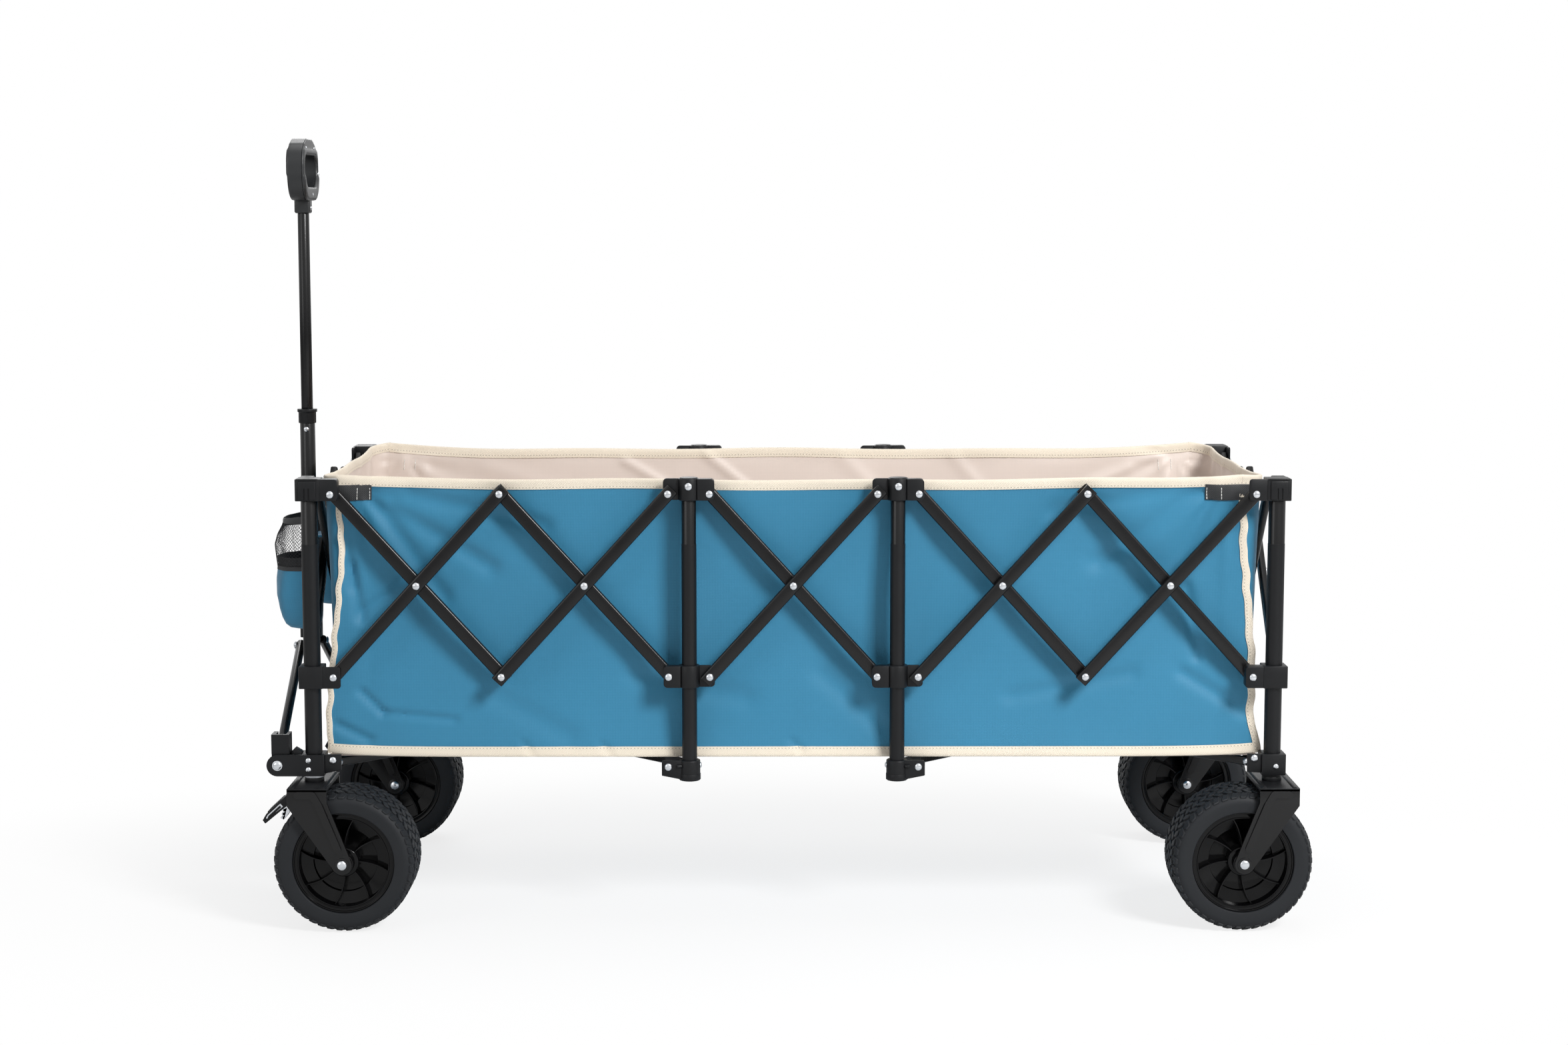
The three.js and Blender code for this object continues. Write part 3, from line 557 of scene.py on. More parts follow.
def mid_bracket(low, high, outer):
    """A round sleeve with a flange each way. The one on the outer side stands forward."""
    parts = [
        soften(upright(mid_sleeve, low, high), 0.9),
        flange((-mid_reach, -2, low + 0.3), (0, 2, high - 0.3), -mid_reach, 5),
        flange((0, -2, low + 0.3), (mid_reach, 2, high - 0.3), mid_reach, 5),
        flange((11, mid_face, low + 0.3), (mid_reach, 1, high - 0.3), mid_reach, 5),
    ]
    if outer < 0:
        placed(parts[-1], mirror=(-1, 1, 1))
    return joined(*[eased(part, nylon, 0.8) for part in parts])


hub_angle = math.degrees(math.atan2(post_y["far"], (post_x["mid_front"] - post_x["front"]) / 2))


def hub_flange(high, angle):
    """The tapered plate towards the hub under the floor, with its rivet."""
    plate = slanted(flange((0, -2, high - 20), (45, 2, high), 45, 3), (45, 0, high - 14), (0.13, 0, -1))
    return placed(joined(eased(plate, nylon, 0.7), rivet_at(35, -2, high - 9)), turn=(0, 0, angle))


def yoke():
    """The cheeks round the handle's pitch bolt, with the stop between them and the bolt itself."""
    cheeks = [
        fused(
            crosswise(14, bolt_x, bolt_z, low, high),
            block((bolt_x, low, foot_low), (14, high, foot_high)),
        )
        for low, high in ((-yoke_outside, -yoke_inside), (yoke_inside, yoke_outside))
    ]
    stop = block((-28.4, -6, 214), (-15, 6, 236))
    slanted(stop, (-28.4, 0, 230), (-1, 0, 1))
    slanted(stop, (-15, 0, 230), (1, 0, 1.6))
    return [
        *[eased(cheek, nylon, 0.9) for cheek in cheeks],
        eased(stop, nylon, 0.6),
        set_at(rivet(5.6, 2.4), bolt_x, -yoke_outside, bolt_z),
        eased(crosswise(6.6, bolt_x, bolt_z, -16.9, -16, 32), zinc, 0.3),
        eased(crosswise(6.4, bolt_x, bolt_z, yoke_outside, 19.6, 6), zinc, 0.5),
    ]


def stand(piece, row, side, name, slot, *nodes, body=None):
    """Sets a piece drawn for the near front corner on its own post."""
    across = -1 if row in ("rear", "mid_rear") else 1
    inward = 1 if side == "near" else -1
    placed(piece, (post_x[row], post_y[side], 0), mirror=(across, inward, 1))
    carrier = body or f"post_{row}_{side}"
    if carrier == "post_front_near":
        carrier = "frame_root"
    return fitted(piece, f"{name}_{row}_{side}", carrier, slot, *nodes)


for side in ("near", "far"):
    for row in ("front", "rear"):
        node, slider = f"post_{row}_{side}", f"slider_{row}_{side}"
        tube = eased(upright(corner_tube, 201, tube_top), powder_coat, 0.6)
        stand(tube, row, side, "tube", "black_steel", node)

        # The crossed bars lie outside or inside by turns, so a flange is thick or thin.
        thick_side, thick_end = row == "front", side == "near"
        bracket = corner_bracket(top_low, top_high, thick_side, thick_end)
        bracket = joined(bracket, lock_panel(), *corner_rivets(upper_pivots))
        stand(bracket, row, side, "top_bracket", "black_steel", node)
        bracket = corner_bracket(slider_low, slider_high, not thick_side, not thick_end)
        drilled(bracket, upright(corner_tube + 0.3, 200, 500))
        bracket = joined(bracket, *corner_rivets(lower_pivots))
        stand(bracket, row, side, "slide", "black_plastic", slider, body=slider)

        foot = block((-sleeve_half, -sleeve_half, foot_low), (sleeve_half, sleeve_half, foot_high))
        # A plate beside the foot ties it to the hem, and is shallower at its free end.
        if row == "front":
            reach, head_x, head_z, first, last = 37, 26, 219.5, 200, 207
            screws = [screw_at(-5, -sleeve_half - 0.6, z) for z in (220, 208)]
        else:
            reach, head_x, head_z, first, last = 34, 24.6, 221.5, 202, 203.5
            screws = [screw_at(-2.5, -sleeve_half - 0.6, 211.5)]
        plate = block((6, -12.1, first), (reach, -8.5, foot_high))
        slanted(plate, (reach, 0, last), (last - first, 0, 6 - reach))
        parts = [hub_flange(220, hub_angle), eased(plate, nylon, 0.9), rivet_at(head_x, -12.1, head_z)]
        if row == "front":
            parts += yoke()
        foot = joined(eased(foot, nylon, 1.2), *parts, *screws)
        stand(foot, row, side, "foot_bracket", "black_steel", node)

    for row, across in (("mid_front", 1), ("mid_rear", -1)):
        node, slider = f"post_{row}_{side}", f"slider_{row}_{side}"
        tube = eased(upright(mid_tube, 193, tube_top), powder_coat, 0.6)
        stand(tube, row, side, "tube", "black_steel", node)

        # Flanges that stand forward are on the rearward side at the top, forward at the slider.
        bracket = mid_bracket(top_low, top_high, across)
        plug = eased(upright(11.4, top_high - 1, top_high + 0.9, 40), nylon, 0.7)
        heads = [
            rivet_at(across * mid_pivot, mid_face, upper_pivots),
            rivet_at(0, -mid_sleeve, upper_pivots + 10),
        ]
        stand(joined(bracket, plug, *heads), row, side, "top_bracket", "black_steel", node)
        bracket = drilled(mid_bracket(slider_low, slider_high, -across), upright(mid_tube + 0.3, 200, 500))
        bracket = joined(bracket, rivet_at(-across * mid_pivot, mid_face, lower_pivots))
        stand(bracket, row, side, "slide", "black_plastic", slider, body=slider)

        plate = flange((-36, -8.5, cap_high - 25), (0, -4.5, cap_high), -36, 3)
        foot = joined(
            eased(upright(mid_sleeve, cap_low, cap_high), nylon, 1.6, 3),
            eased(upright(mid_sleeve + 0.5, cap_low + 1, cap_low + 9), nylon, 0.5),
            eased(rod(2.4, (-10, -9, 211), (-16.5, -11, 211), 16), nylon, 0.5),
            eased(slanted(plate, (-36, 0, cap_high - 20), (-0.2, 0, -1)), nylon, 0.8),
            hub_flange(cap_high, 180 - hub_angle),
            screw_at(mid_sleeve, 0, 211, 90),
            rivet_at(-27.5, -8.5, cap_high - 8.5),
        )
        stand(foot, row, side, "foot_cap", "black_steel", node)


# ---- Forks ----
# Two arms of 4 mm pressed steel, powder coated, sweep back to the axle from a nylon crown, with
# a ridge pressed along each. The front pair turn on a boss with a zinc-plated washer, and the
# rear pair stand in a plain black socket.

def hulled(*pieces):
    """One convex skin round several pieces."""
    whole = joined(*pieces)
    edit_all(whole)
    bpy.ops.mesh.convex_hull()
    bpy.ops.mesh.select_all(action="SELECT")
    bpy.ops.mesh.dissolve_limited(angle_limit=math.radians(1))
    leave_editing()
    return whole


trail, axle_height = 42.0, joint_at["wheel_front_near_spin"].z / mm
arm_inside, arm_outside = 50.0, 54.0
crown_high = 190.7
arm_front, arm_back = -27.0, 24.0


def fork_arm(face):
    """One arm, between the tyre and `face` times its outer plane."""
    low, high = sorted((face * arm_inside, face * arm_outside))
    lower = hulled(
        block((arm_front, low, 168), (arm_back, high, 172)),
        crosswise(12.6, trail, axle_height, low, high),
    )
    arm = soften(fused(lower, block((arm_front, low, 171), (arm_back, high, crown_high - 1))), 1.3, 3)
    inner, outer = sorted((face * (arm_outside - 2), face * (arm_outside + 2.9)))
    path = ((-13, 183), (6, 183), (13, 171), (37, 112))
    ridges = [
        hulled(*[crosswise(4.6, x, z, inner, outer, 20) for x, z in ends]) for ends in zip(path, path[1:])
    ]
    ridge = soften(fused(*ridges), 2.6, 4)
    boss = soften(crosswise(9.4, trail, axle_height, face * 52, face * 54.9), 0.6)
    return joined(*[painted(part, powder_coat) for part in (arm, ridge, boss)])


def fork():
    crown = block((arm_front, -arm_outside, crown_high - 4), (arm_back, arm_outside, crown_high))
    ridges = [
        crosswise(4.2, x, crown_high - 2.6, 3 - arm_outside, arm_outside - 3, 24)
        for x in (arm_front + 6, arm_back - 6)
    ]
    parts = [eased(fused(crown, *ridges), nylon, 1.2, 3), fork_arm(-1), fork_arm(1)]
    for face, turn in ((-1, 0), (1, 180)):
        parts.append(set_at(rivet(6.3, 2.9), trail, face * 54.6, axle_height, turn))
    return joined(*parts, painted(crosswise(4.6, trail, axle_height, -53, 53, 20), zinc))


# Zinc plating left as it comes from the barrel: pale grey, satin, with no brushed lines.
washer_zinc = moulded("Satin zinc-plated washer", "#dcdfe3", 0.5, 1.2, 0.1, Metallic=1.0)

fork_pattern = fork()
boss = soften(upright(12.6, crown_high - 0.5, foot_low - 3, 40), 0.8)
washer = soften(upright(12.2, foot_low - 3.6, foot_low - 0.3, 40), 0.5)
swivel = joined(painted(copied(boss), nylon), painted(copied(washer), washer_zinc))
socket = joined(painted(boss, nylon), painted(washer, nylon))
for side in ("near", "far"):
    caster = f"caster_fork_{side}"
    made = joined(copied(fork_pattern), copied(swivel))
    stand(made, "front", side, "fork", "black_steel", caster, body=caster)
    made = joined(copied(fork_pattern), copied(socket))
    stand(made, "rear", side, "fork", "black_steel", f"post_rear_{side}")
for pattern in (fork_pattern, swivel, socket):
    bpy.data.objects.remove(pattern)


# ---- Foot brakes ----
# A nylon pedal with a framed tread pad on a zinc-plated lever, whose toothed blade drops on
# the tyre. It turns on a pin across the fork.

def wedge(material, low, high, *points):
    """A plate across Y whose outline is the convex skin of the points (X, Z)."""
    return painted(hulled(*[crosswise(0.8, x, z, low, high, 10) for x, z in points]), material)


for side in ("near", "far"):
    pedal = f"brake_pedal_{side}"
    paddle = soften(wedge(
        nylon, -19, 19,
        (-64, 142.5), (-61.5, 139), (-60, 149.5), (-31, 176.5), (-22, 180), (-22, 171.5), (-33, 163),
    ), 1.2, 3)
    pads = [wedge(nylon, -13, 13, (-58.6, 152.2), (-41.8, 167.8), (-41, 167), (-57.8, 151.4))]
    frames = []
    for face in (-1, 1):
        frames.append(wedge(
            zinc, *sorted((face * 19.6, face * 17)),
            (-59.4, 145.6), (-57.6, 148.8), (-41.6, 163.4), (-39.2, 160.6),
        ))
        pads.append(wedge(
            nylon, *sorted((face * 19.9, face * 17)),
            (-57.2, 146.6), (-56.4, 148), (-42.2, 161), (-41.2, 159.8),
        ))
    lever = wedge(nylon, -12, 12, (-38, 168), (-18, 182), (-17, 172), (-32, 162))
    blade = wedge(
        zinc, -11, 11, (-37, 163), (-27, 166), (-27.5, 160), (-37, 144.3), (-39.3, 142.4), (-39.9, 147)
    )
    plate = wedge(zinc, -12.6, 12.6, (-36.5, 171), (-27, 174), (-25, 160), (-33, 157.5), (-37.5, 162))
    tooth = ((-39.3, 142.4), (-42.4, 143.9), (-38, 146))
    teeth = [wedge(zinc, -11, 11, *[(x + k * 1.3, z + k * 5) for x, z in tooth]) for k in range(3)]
    pin = painted(crosswise(2.5, -24, 176, -49.5, 49.5, 16), zinc)
    bolt = eased(crosswise(3.4, -31, 166, -14.6, 14.6, 6), zinc, 0.4)
    made = joined(paddle, lever, blade, plate, pin, bolt, *pads, *frames, *teeth)
    stand(made, "front", side, "brake", "black_plastic", pedal, body=pedal)


# ---- Wheels ----
# A tyre of foamed rubber with a block tread on a wide black polypropylene rim. Both faces are
# dished, with eight thin curved ribs from the hub to the rim's wall.

# Soft EVA rubber: charcoal and dry, with a dusty bloom that keeps it from going black.
rubber = moulded(
    "Charcoal foam tyre rubber", "#1b1d20", 0.6, 1.1, 0.4, 0.16, **{"Specular IOR Level": 0.22}
)
# Blow-moulded polypropylene: deep black with a wet gloss on its edges.
gloss_black = moulded(
    "Glossy black polypropylene", "#040405", 0.13, 3.5, 0.08, **{"Specular IOR Level": 0.18}
)

tyre_outside, tyre_inside, tyre_half = 88.9, 65.5, 45.0


def radial(point):
    """The distance from the axle's middle line."""
    return math.hypot(point.x, point.z)


def pick_ends(piece):
    """Picks the two flat ends of a wheel's part."""
    pick(piece, lambda centre, normal: abs(normal.y) > 0.95 and radial(centre) < 1)


def tyre():
    ring = crosswise(tyre_outside, 0, 0, -tyre_half, tyre_half, 96)
    pick_ends(ring)
    stepped((12, 0), (tyre_outside - 12 - tyre_inside, 0))
    bpy.ops.mesh.delete(type="FACE")
    bpy.ops.mesh.select_all(action="DESELECT")
    leave_editing()
    pick(ring, lambda a, b: max(radial(a), radial(b)) < 66, "EDGE")
    bpy.ops.mesh.bridge_edge_loops()
    leave_editing()

    def outer_edge(a, b):
        return min(radial(a), radial(b)) > tyre_outside - 0.2 and abs(a.y) > 44 and abs(a.y - b.y) < 0.1

    def inner_edge(a, b):
        return all(abs(radial(p) - tyre_inside) < 0.4 for p in (a, b)) and abs(a.y - b.y) < 0.1

    # The side walls round over into the tread.
    bevelled(ring, outer_edge, 11, 7)
    return painted(bevelled(ring, inner_edge, 1.6, 3), rubber)


tread_rows, tread_pitches = (-38.2, -23.2, -7.9, 7.9, 23.2, 38.2), 45
shoulder_pivot, shoulder_tilt = 86.8, 24


def tread():
    """Rounded shoulder blocks and slanted ones between, for one pitch, spun round the tyre."""
    blocks = []
    for row, y in enumerate(tread_rows):
        shoulder = abs(y) > 35
        base, high, reach = (4.2, 88.8, 5.4) if shoulder else (1.0, 91.0, 6.7)
        lug = block((-5.6, -reach, tyre_outside - base), (5.6, reach, high))
        lean = 0.5 if row % 2 else -0.5
        slanted(lug, (4.6, 0, 0), (1, lean, 0))
        slanted(lug, (-4.6, 0, 0), (-1, -lean, 0))
        if shoulder:
            placed(lug, (0, 0, -shoulder_pivot * mm))
            placed(lug, (0, 0, shoulder_pivot * mm), (-shoulder_tilt * math.copysign(1, y), 0, 0))
        placed(lug, (0, y * mm, 0), (0, 4 * (row % 2), 0))
        blocks.append(soften(lug, 0.8, 1))
    row = painted(joined(*blocks), rubber)
    edit_all(row)
    bpy.ops.mesh.spin(
        steps=tread_pitches, angle=2 * math.pi, center=(0, 0, 0), axis=(0, 1, 0), dupli=True
    )
    bpy.ops.mesh.select_all(action="SELECT")
    bpy.ops.mesh.remove_doubles(threshold=0.00001)
    leave_editing()
    return row


def rim():
    body = crosswise(65.4, 0, 0, -41.5, 41.5, 96)
    pick_ends(body)
    # The lip, the bead, the wall, the dish and its middle.
    stepped((2.2, -2.5), (4.2, 1.4), (1.6, -17), (16, -7), (20, 0))
    leave_editing()
    soften(body, 0.7, 2, 40)
    hub = soften(crosswise(14, 0, 0, -49.2, 49.2), 1.4, 3)
    collar = soften(crosswise(19, 0, 0, -36, 36), 2, 3)
    # A rib is a thin upright strip spun through a slow curve.
    rib = block((13, -33, -0.9), (16, 33, 0.9))
    pick(rib, lambda centre, normal: normal.x > 0.9)
    bpy.ops.mesh.spin(steps=7, angle=math.radians(-38), center=(0.015, 0, -0.072), axis=(0, 1, 0))
    leave_editing()
    soften(rib, 0.6, 2, 50)
    ribs = [rib, *[placed(copied(rib), turn=(0, 45 * index, 0)) for index in range(1, 8)]]
    return joined(*[painted(part, gloss_black) for part in (body, hub, collar, *ribs)])


tyre_pattern, rim_pattern = joined(tyre(), tread()), rim()
for side in ("near", "far"):
    for row in ("front", "rear"):
        node = f"wheel_{row}_{side}"
        axle = joint_at[f"{node}_spin"]
        made = placed(copied(tyre_pattern), axle)
        fitted(made, f"tyre_{row}_{side}", node, "tyre_rubber", node, smooth=28)
        made = placed(copied(rim_pattern), axle, mirror=(-1 if row == "rear" else 1, 1, 1))
        fitted(made, f"rim_{row}_{side}", node, "black_plastic", node)
for pattern in (tyre_pattern, rim_pattern):
    bpy.data.objects.remove(pattern)


# ---- Handle ----
# A channelled nylon block turns on the bolt at each front foot, and a steel rod swings in it.
# The rods carry a moulded connector with the outer tube, in which the inner tube and its
# padded grip slide.

# Moulded ABS with a soft-touch coat: near black, and it smears highlights into a wide sheen.
soft_touch = moulded("Soft-touch coated ABS", "#141618", 0.40, 1.4, 0.12)

front_post = (post_x["front"], 0, 0)
handle_x = (middle("handle_inner_tube").x - post_x["front"]) / mm
rod_low, rod_high, rod_radius = 241.5, 333.0, 6.0
rod_swing, pin_half = 11.3, 23.2
outer_tube_top, grip_low, grip_high, grip_half = 655.0, 922.0, 1022.0, 12.5
inner_radius, bore_radius, outer_radius = 7.8, 8.3, 10.1


def on_tube(radius, low, high):
    """Round stock on the handle's middle line."""
    return upright(radius, low, high, 64, handle_x)


for side, inward in (("near", 1), ("far", -1)):
    holder = f"handle_block_{side}"
    lower = fused(
        crosswise(11.6, bolt_x, bolt_z, -11.7, 11.7), block((-52.8, -11.7, bolt_z), (-32.2, 11.7, 230))
    )
    channel = drilled(
        fused(lower, block((-53, -11.8, 228), (-30.2, 11.8, 253.4))),
        block((-47.6, -7.6, 233), (-34.4, 13, 260)),
        rod(1.7, (-32, 4, 246), (-20, 4, 246), 16),
    )
    pin = painted(rod(2.4, (-52, 0, rod_low), (-31, 0, rod_low), 16), zinc)
    bolt = painted(crosswise(4.2, bolt_x, bolt_z, -12.5, 12.5, 20), zinc)
    made = joined(eased(channel, nylon, 1.1), pin, bolt)
    stand(made, "front", side, "channel", "black_plastic", holder, body=holder)

    # The near rod pins in front of the connector's plate, and the far one behind it.
    start = Vector((-41, post_y[side] / mm, rod_low))
    end = Vector((handle_x - rod_swing * inward, -inward * pin_half, rod_high))
    along = (end - start).normalized() * 6
    bar = eased(rod(rod_radius, start - along, end + along), powder_coat, 2.2, 3)
    heads = [rivet_at(p.x + face * 5.6, p.y, p.z, 90 * face) for p in (start, end) for face in (-1, 1)]
    placed(joined(bar, *heads), front_post)
    fitted(bar, f"rod_{side}", f"handle_rod_{side}", "black_steel", f"handle_rod_{side}")

plate = block((handle_x - 4, -32.2, 324), (handle_x + 4, 32.2, 351))
bevelled(plate, lambda a, b: abs(a.x - b.x) > 5, 6, 5)
socket = block((handle_x - 14, -14, 342), (handle_x + 14, 14, 385))
bevelled(socket, lambda a, b: abs(a.z - b.z) > 5, 5, 4)
webs = [
    hulled(
        block((handle_x - 1.5, face * 12 - 1, 345), (handle_x + 1.5, face * 12 + 1, 382)),
        block((handle_x - 1.5, face * 28 - 1, 345), (handle_x + 1.5, face * 28 + 1, 350)),
    )
    for face in (-1, 1)
]
connector = drilled(fused(plate, socket, *webs), on_tube(bore_radius + 0.3, 364, 400))
eased(connector, nylon, 1.0)
outer = drilled(on_tube(outer_radius, 380, outer_tube_top), on_tube(bore_radius, 370, 700))
eased(outer, powder_coat, 0.5)
collar = fused(
    on_tube(11.9, outer_tube_top - 18, outer_tube_top),
    on_tube(13.4, outer_tube_top - 3, outer_tube_top + 1.5),
)
eased(drilled(collar, on_tube(bore_radius, 630, 700)), nylon, 0.8, 3)
stud = set_at(drilled(rivet(3.6, 2.0), crosswise(1.5, 0, 0, -3, -1, 6)), handle_x, -10, 629)
pin_level = (-pin_half, rod_high)
pin = painted(rod(2.4, (handle_x - 20.5, *pin_level), (handle_x - 3, *pin_level), 16), zinc)
cross = rivet_at(handle_x - 18.3, *pin_level, -90)
screws = [screw_at(handle_x, -14, z) for z in (352, 372)]
tube = placed(joined(connector, outer, collar, stud, pin, cross, *screws), front_post)
fitted(tube, "outer_tube", "handle_outer_tube", "black_steel", "handle_outer_tube")

inner = placed(eased(on_tube(inner_radius, 618, 938), powder_coat, 0.4), front_post)
fitted(inner, "inner_tube", "handle_inner_tube", "black_steel", "handle_inner_tube")


def rounded_slab(half_x, half_y, low, high, radii):
    """A slab across X whose corners, low then high, are rounded in its own plane."""
    slab = block((-half_x, -half_y, low), (half_x, half_y, high))
    for level, radius in zip((low, high), radii):

        def corner(a, b):
            level_too = all(abs(p.z - level) < 0.1 for p in (a, b))
            return abs(a.x - b.x) > 1 and level_too and abs(abs(a.y) - half_y) < 0.1

        bevelled(slab, corner, radius, 12)
    return slab


# The grip is two shells that meet round its rear edge, and the screws stand in the rear one.
loop = drilled(
    rounded_slab(grip_half, 58.5, grip_low + 17, grip_high - 6, (34, 27)),
    rounded_slab(20, 49.5, grip_low + 35, grip_high - 22, (23, 16)),
)
crown = soften(hulled(
    block((-grip_half, -20, grip_high - 14), (grip_half, 20, grip_high)),
    block((-grip_half, -42, grip_high - 14), (grip_half, 42, grip_high - 7)),
), 0.01, 1)
loop = fused(loop, crown)
apply_modifier(loop, "REMESH", mode="VOXEL", voxel_size=0.0013)
apply_modifier(loop, "SMOOTH", factor=0.5, iterations=10)
# The pads swell at the top and draw in to a waist a third of the way up.
pick(loop, lambda centre, normal: grip_low < centre.z < grip_low + 50)
bpy.ops.transform.translate(value=(0.0012, 0, 0))
leave_editing()
pick(loop, lambda centre, normal: centre.z > grip_high - 14)
bpy.ops.transform.resize(value=(0.88, 1, 1), center_override=(0, 0, 0))
leave_editing()
apply_modifier(loop, "SMOOTH", factor=0.5, iterations=12)
seams = copied(loop)
slanted(loop, (8.6, 0, 0), (1, 0, 0))
slanted(seams, (9.2, 0, 0), (-1, 0, 0))
neck = soften(block((-10.5, -10.5, grip_low), (10.5, 10.5, grip_low + 26)), 2.6, 4)
parts = [painted(part, soft_touch) for part in (loop, seams, neck)]
grip_screws = (
    (-33, 1009, 10.6), (30, 1009, 10.6), (-53.5, 968, 12.1), (53.5, 975, 12.1), (0, 947, 13), (0, 929, 10.4)
)
heads = [set_at(rivet(2.6, 1.6), x, y, z, 90) for y, z, x in grip_screws]
grip = placed(joined(*parts, *heads), (post_x["front"] + handle_x * mm, 0, 0))
fitted(grip, "grip", "handle_inner_tube", "black_plastic", "handle_grip", smooth=40)


# ---- Bag: cloths ----
# The shell is sewn from blue polyester Oxford with a coated lining. Its edges and seams are
# bound in cream twill tape, and black webbing ties its corners to the posts.

def wave_of(material, value, period):
    """A sine wave from 0 to 1 along a value in metres, with its period in millimetres."""
    turns = calculated(material, "MULTIPLY", value, 2 * math.pi * 1000 / period)
    return calculated(material, "MULTIPLY_ADD", calculated(material, "SINE", turns), 0.5, 0.5)


def cloth_axes(material):
    """The two directions of a cloth's threads, in metres, from its own UV map."""
    place = add_node(material, "ShaderNodeTexCoord")
    axes = add_node(material, "ShaderNodeSeparateXYZ", {0: place.outputs["UV"]})
    return place, axes.outputs[0], axes.outputs[1]


def cloth_shader(material, place, colour, weave, shades, roughness, bump, **sockets):
    """The weave moves the height and the colour, and slow clouds of dye move the colour."""
    mixed = calculated(material, "MULTIPLY_ADD", noise(material, place, 7, 3), 0.5, 0.0)
    mixed = calculated(material, "MULTIPLY_ADD", weave, 0.3, mixed)
    mixed = calculated(material, "MULTIPLY_ADD", noise(material, place, 900, 1), 0.3, mixed)
    cloth_colour = blended(material, mixed, *[shade(colour, k) for k in shades])
    return surfaced(material, cloth_colour, roughness, weave, bump, 0.0003, **sockets), cloth_colour


def woven(name, colour, period, ways, shades, roughness, bump, **sockets):
    """A cloth with threads both ways of its UV map, crossed on the bias, or only along it."""
    made = empty_material(name)
    place, u, v = cloth_axes(made)
    if ways == "bias":
        u, v = calculated(made, "ADD", u, v), calculated(made, "SUBTRACT", u, v)
    weave = wave_of(made, u, period)
    if ways != "along":
        weave = calculated(made, "MULTIPLY", weave, wave_of(made, v, period))
    cloth_shader(made, place, colour, weave, shades, roughness, bump, **sockets)
    return made


# Plain-woven 600 denier polyester with a water-repellent finish: an even petrol blue with a
# low silky sheen. Its 0.7 mm threads are drawn at 1.5 mm, so that they show.
oxford = woven(
    "Blue 600 denier polyester Oxford", "#2d7799", 1.5, "both", (0.84, 1.18), 0.55, 0.4,
    **{"Sheen Weight": 0.18, "Sheen Roughness": 0.5, "Specular IOR Level": 0.35},
)
# The lining is the same cloth with a polyurethane coat: smooth, pinkish beige, faintly glossy.
lining = woven(
    "Beige coated polyester lining", "#d6c9c0", 2.2, "both", (0.92, 1.08), 0.44, 0.12,
    **{"Specular IOR Level": 0.45},
)


zigzag_half, stitch_inset, stitch_half, stitch_pitch = 0.003, 0.0024, 0.00055, 4.6


def taped(name, colour, width):
    """Herringbone tape with stitches along each edge of its width, and painted shade in the dents between
    them.
    """
    made = empty_material(name)
    place, along, across = cloth_axes(made)
    zigzag = calculated(made, "PINGPONG", across, zigzag_half)
    ribs = wave_of(made, calculated(made, "ADD", along, zigzag), 2.3)
    from_edge = calculated(made, "PINGPONG", across, width / 2000)
    near_line = calculated(made, "COMPARE", from_edge, stitch_inset, stitch_half)
    dashes = calculated(made, "GREATER_THAN", wave_of(made, along, stitch_pitch), 0.3)
    stitch = calculated(made, "MULTIPLY", near_line, dashes)
    height = calculated(made, "MULTIPLY_ADD", stitch, 1.4, ribs)
    shader, cloth_colour = cloth_shader(
        made, place, colour, height, (0.84, 1.08), 0.74, 0.8, **{"Sheen Weight": 0.15}
    )
    # Painted shade: along each stitch line, the tape between the stitches is darkened to 0.55 of its colour,
    # as shade in the dents.
    dent_shade = calculated(made, "SUBTRACT", near_line, stitch)
    shaded = blended(made, dent_shade, cloth_colour, shade(colour, 0.55))
    made.node_tree.links.new(shaded, shader.inputs["Base Color"])
    return made


# Cotton-like polyester twill, unbleached: cream and matt, with a herringbone rib of 2 to 3 mm.
twill = taped("Cream polyester twill tape", "#e5dac8", 26)
# Woven polypropylene: black, coarse and a little shiny on its diamond ribs of about 2 mm.
webbing = woven(
    "Black polypropylene webbing", "#202123", 2.6, "bias", (0.5, 1.7), 0.5, 1.0, **{"Sheen Weight": 0.1}
)
# Spun polyester sewing thread: off-white with a soft lustre.
thread = woven("White polyester thread", "#ecebe6", 0.9, "along", (0.85, 1.05), 0.6, 0.5)


# ---- Bag: side walls ----
# Each side hangs inside the crossed bars from the tape along its rim. It billows a little
# inwards between them, and pulls into folds below the straps at its corners.

length = (post_x["rear"] - post_x["front"]) / mm
bag_half = 229.4
rim_height, floor_height = 581.0, 222.0
cloth_thick = 1.2
front_seam = ((219, 17), (235, 18.5), (272, 18), (306, 20), (346, 24), (372, 26.5), (400, 29.5),
              (429, 32.5), (457, 35), (498, 38), (512, 36.5), (530, 35), (547, 35.5), (600, 39))
rear_seam = ((219, 16), (245, 20), (265, 25), (288, 26.5), (310, 25), (344, 25.5), (372, 27.5),
             (400, 30), (440, 33), (484, 38), (538, 40.5), (600, 43))
end_line = ((219, 17), (300, 18.5), (386, 18), (417, 17), (453, 16.5), (490, 15), (526, 13.2), (600, 12.8))


def clamped(value):
    return min(1, max(0, value))


def along_table(table, value):
    """A smooth reading between the rows of a table."""
    for (a, low), (b, high) in zip(table, table[1:]):
        if value <= b:
            t = clamped((value - a) / (b - a))
            t = 0.5 * t + 0.5 * t * t * (3 - 2 * t)
            return low + (high - low) * t
    return table[-1][1]


def seams_at(z):
    """Where a side wall starts and ends along its length, at a height."""
    return along_table(front_seam, z), length - along_table(rear_seam, z)


def crease(u, z, start, end, width, depth):
    """A fold pressed in along a line, fading out at its ends."""
    du, dz = end[0] - start[0], end[1] - start[1]
    k = clamped(((u - start[0]) * du + (z - start[1]) * dz) / (du * du + dz * dz))
    away = math.hypot(u - start[0] - k * du, z - start[1] - k * dz)
    side = ((u - start[0]) * dz - (z - start[1]) * du) / math.hypot(du, dz)
    return depth * math.exp(-((away / width) ** 2)) * (1 + 0.8 * side / width)


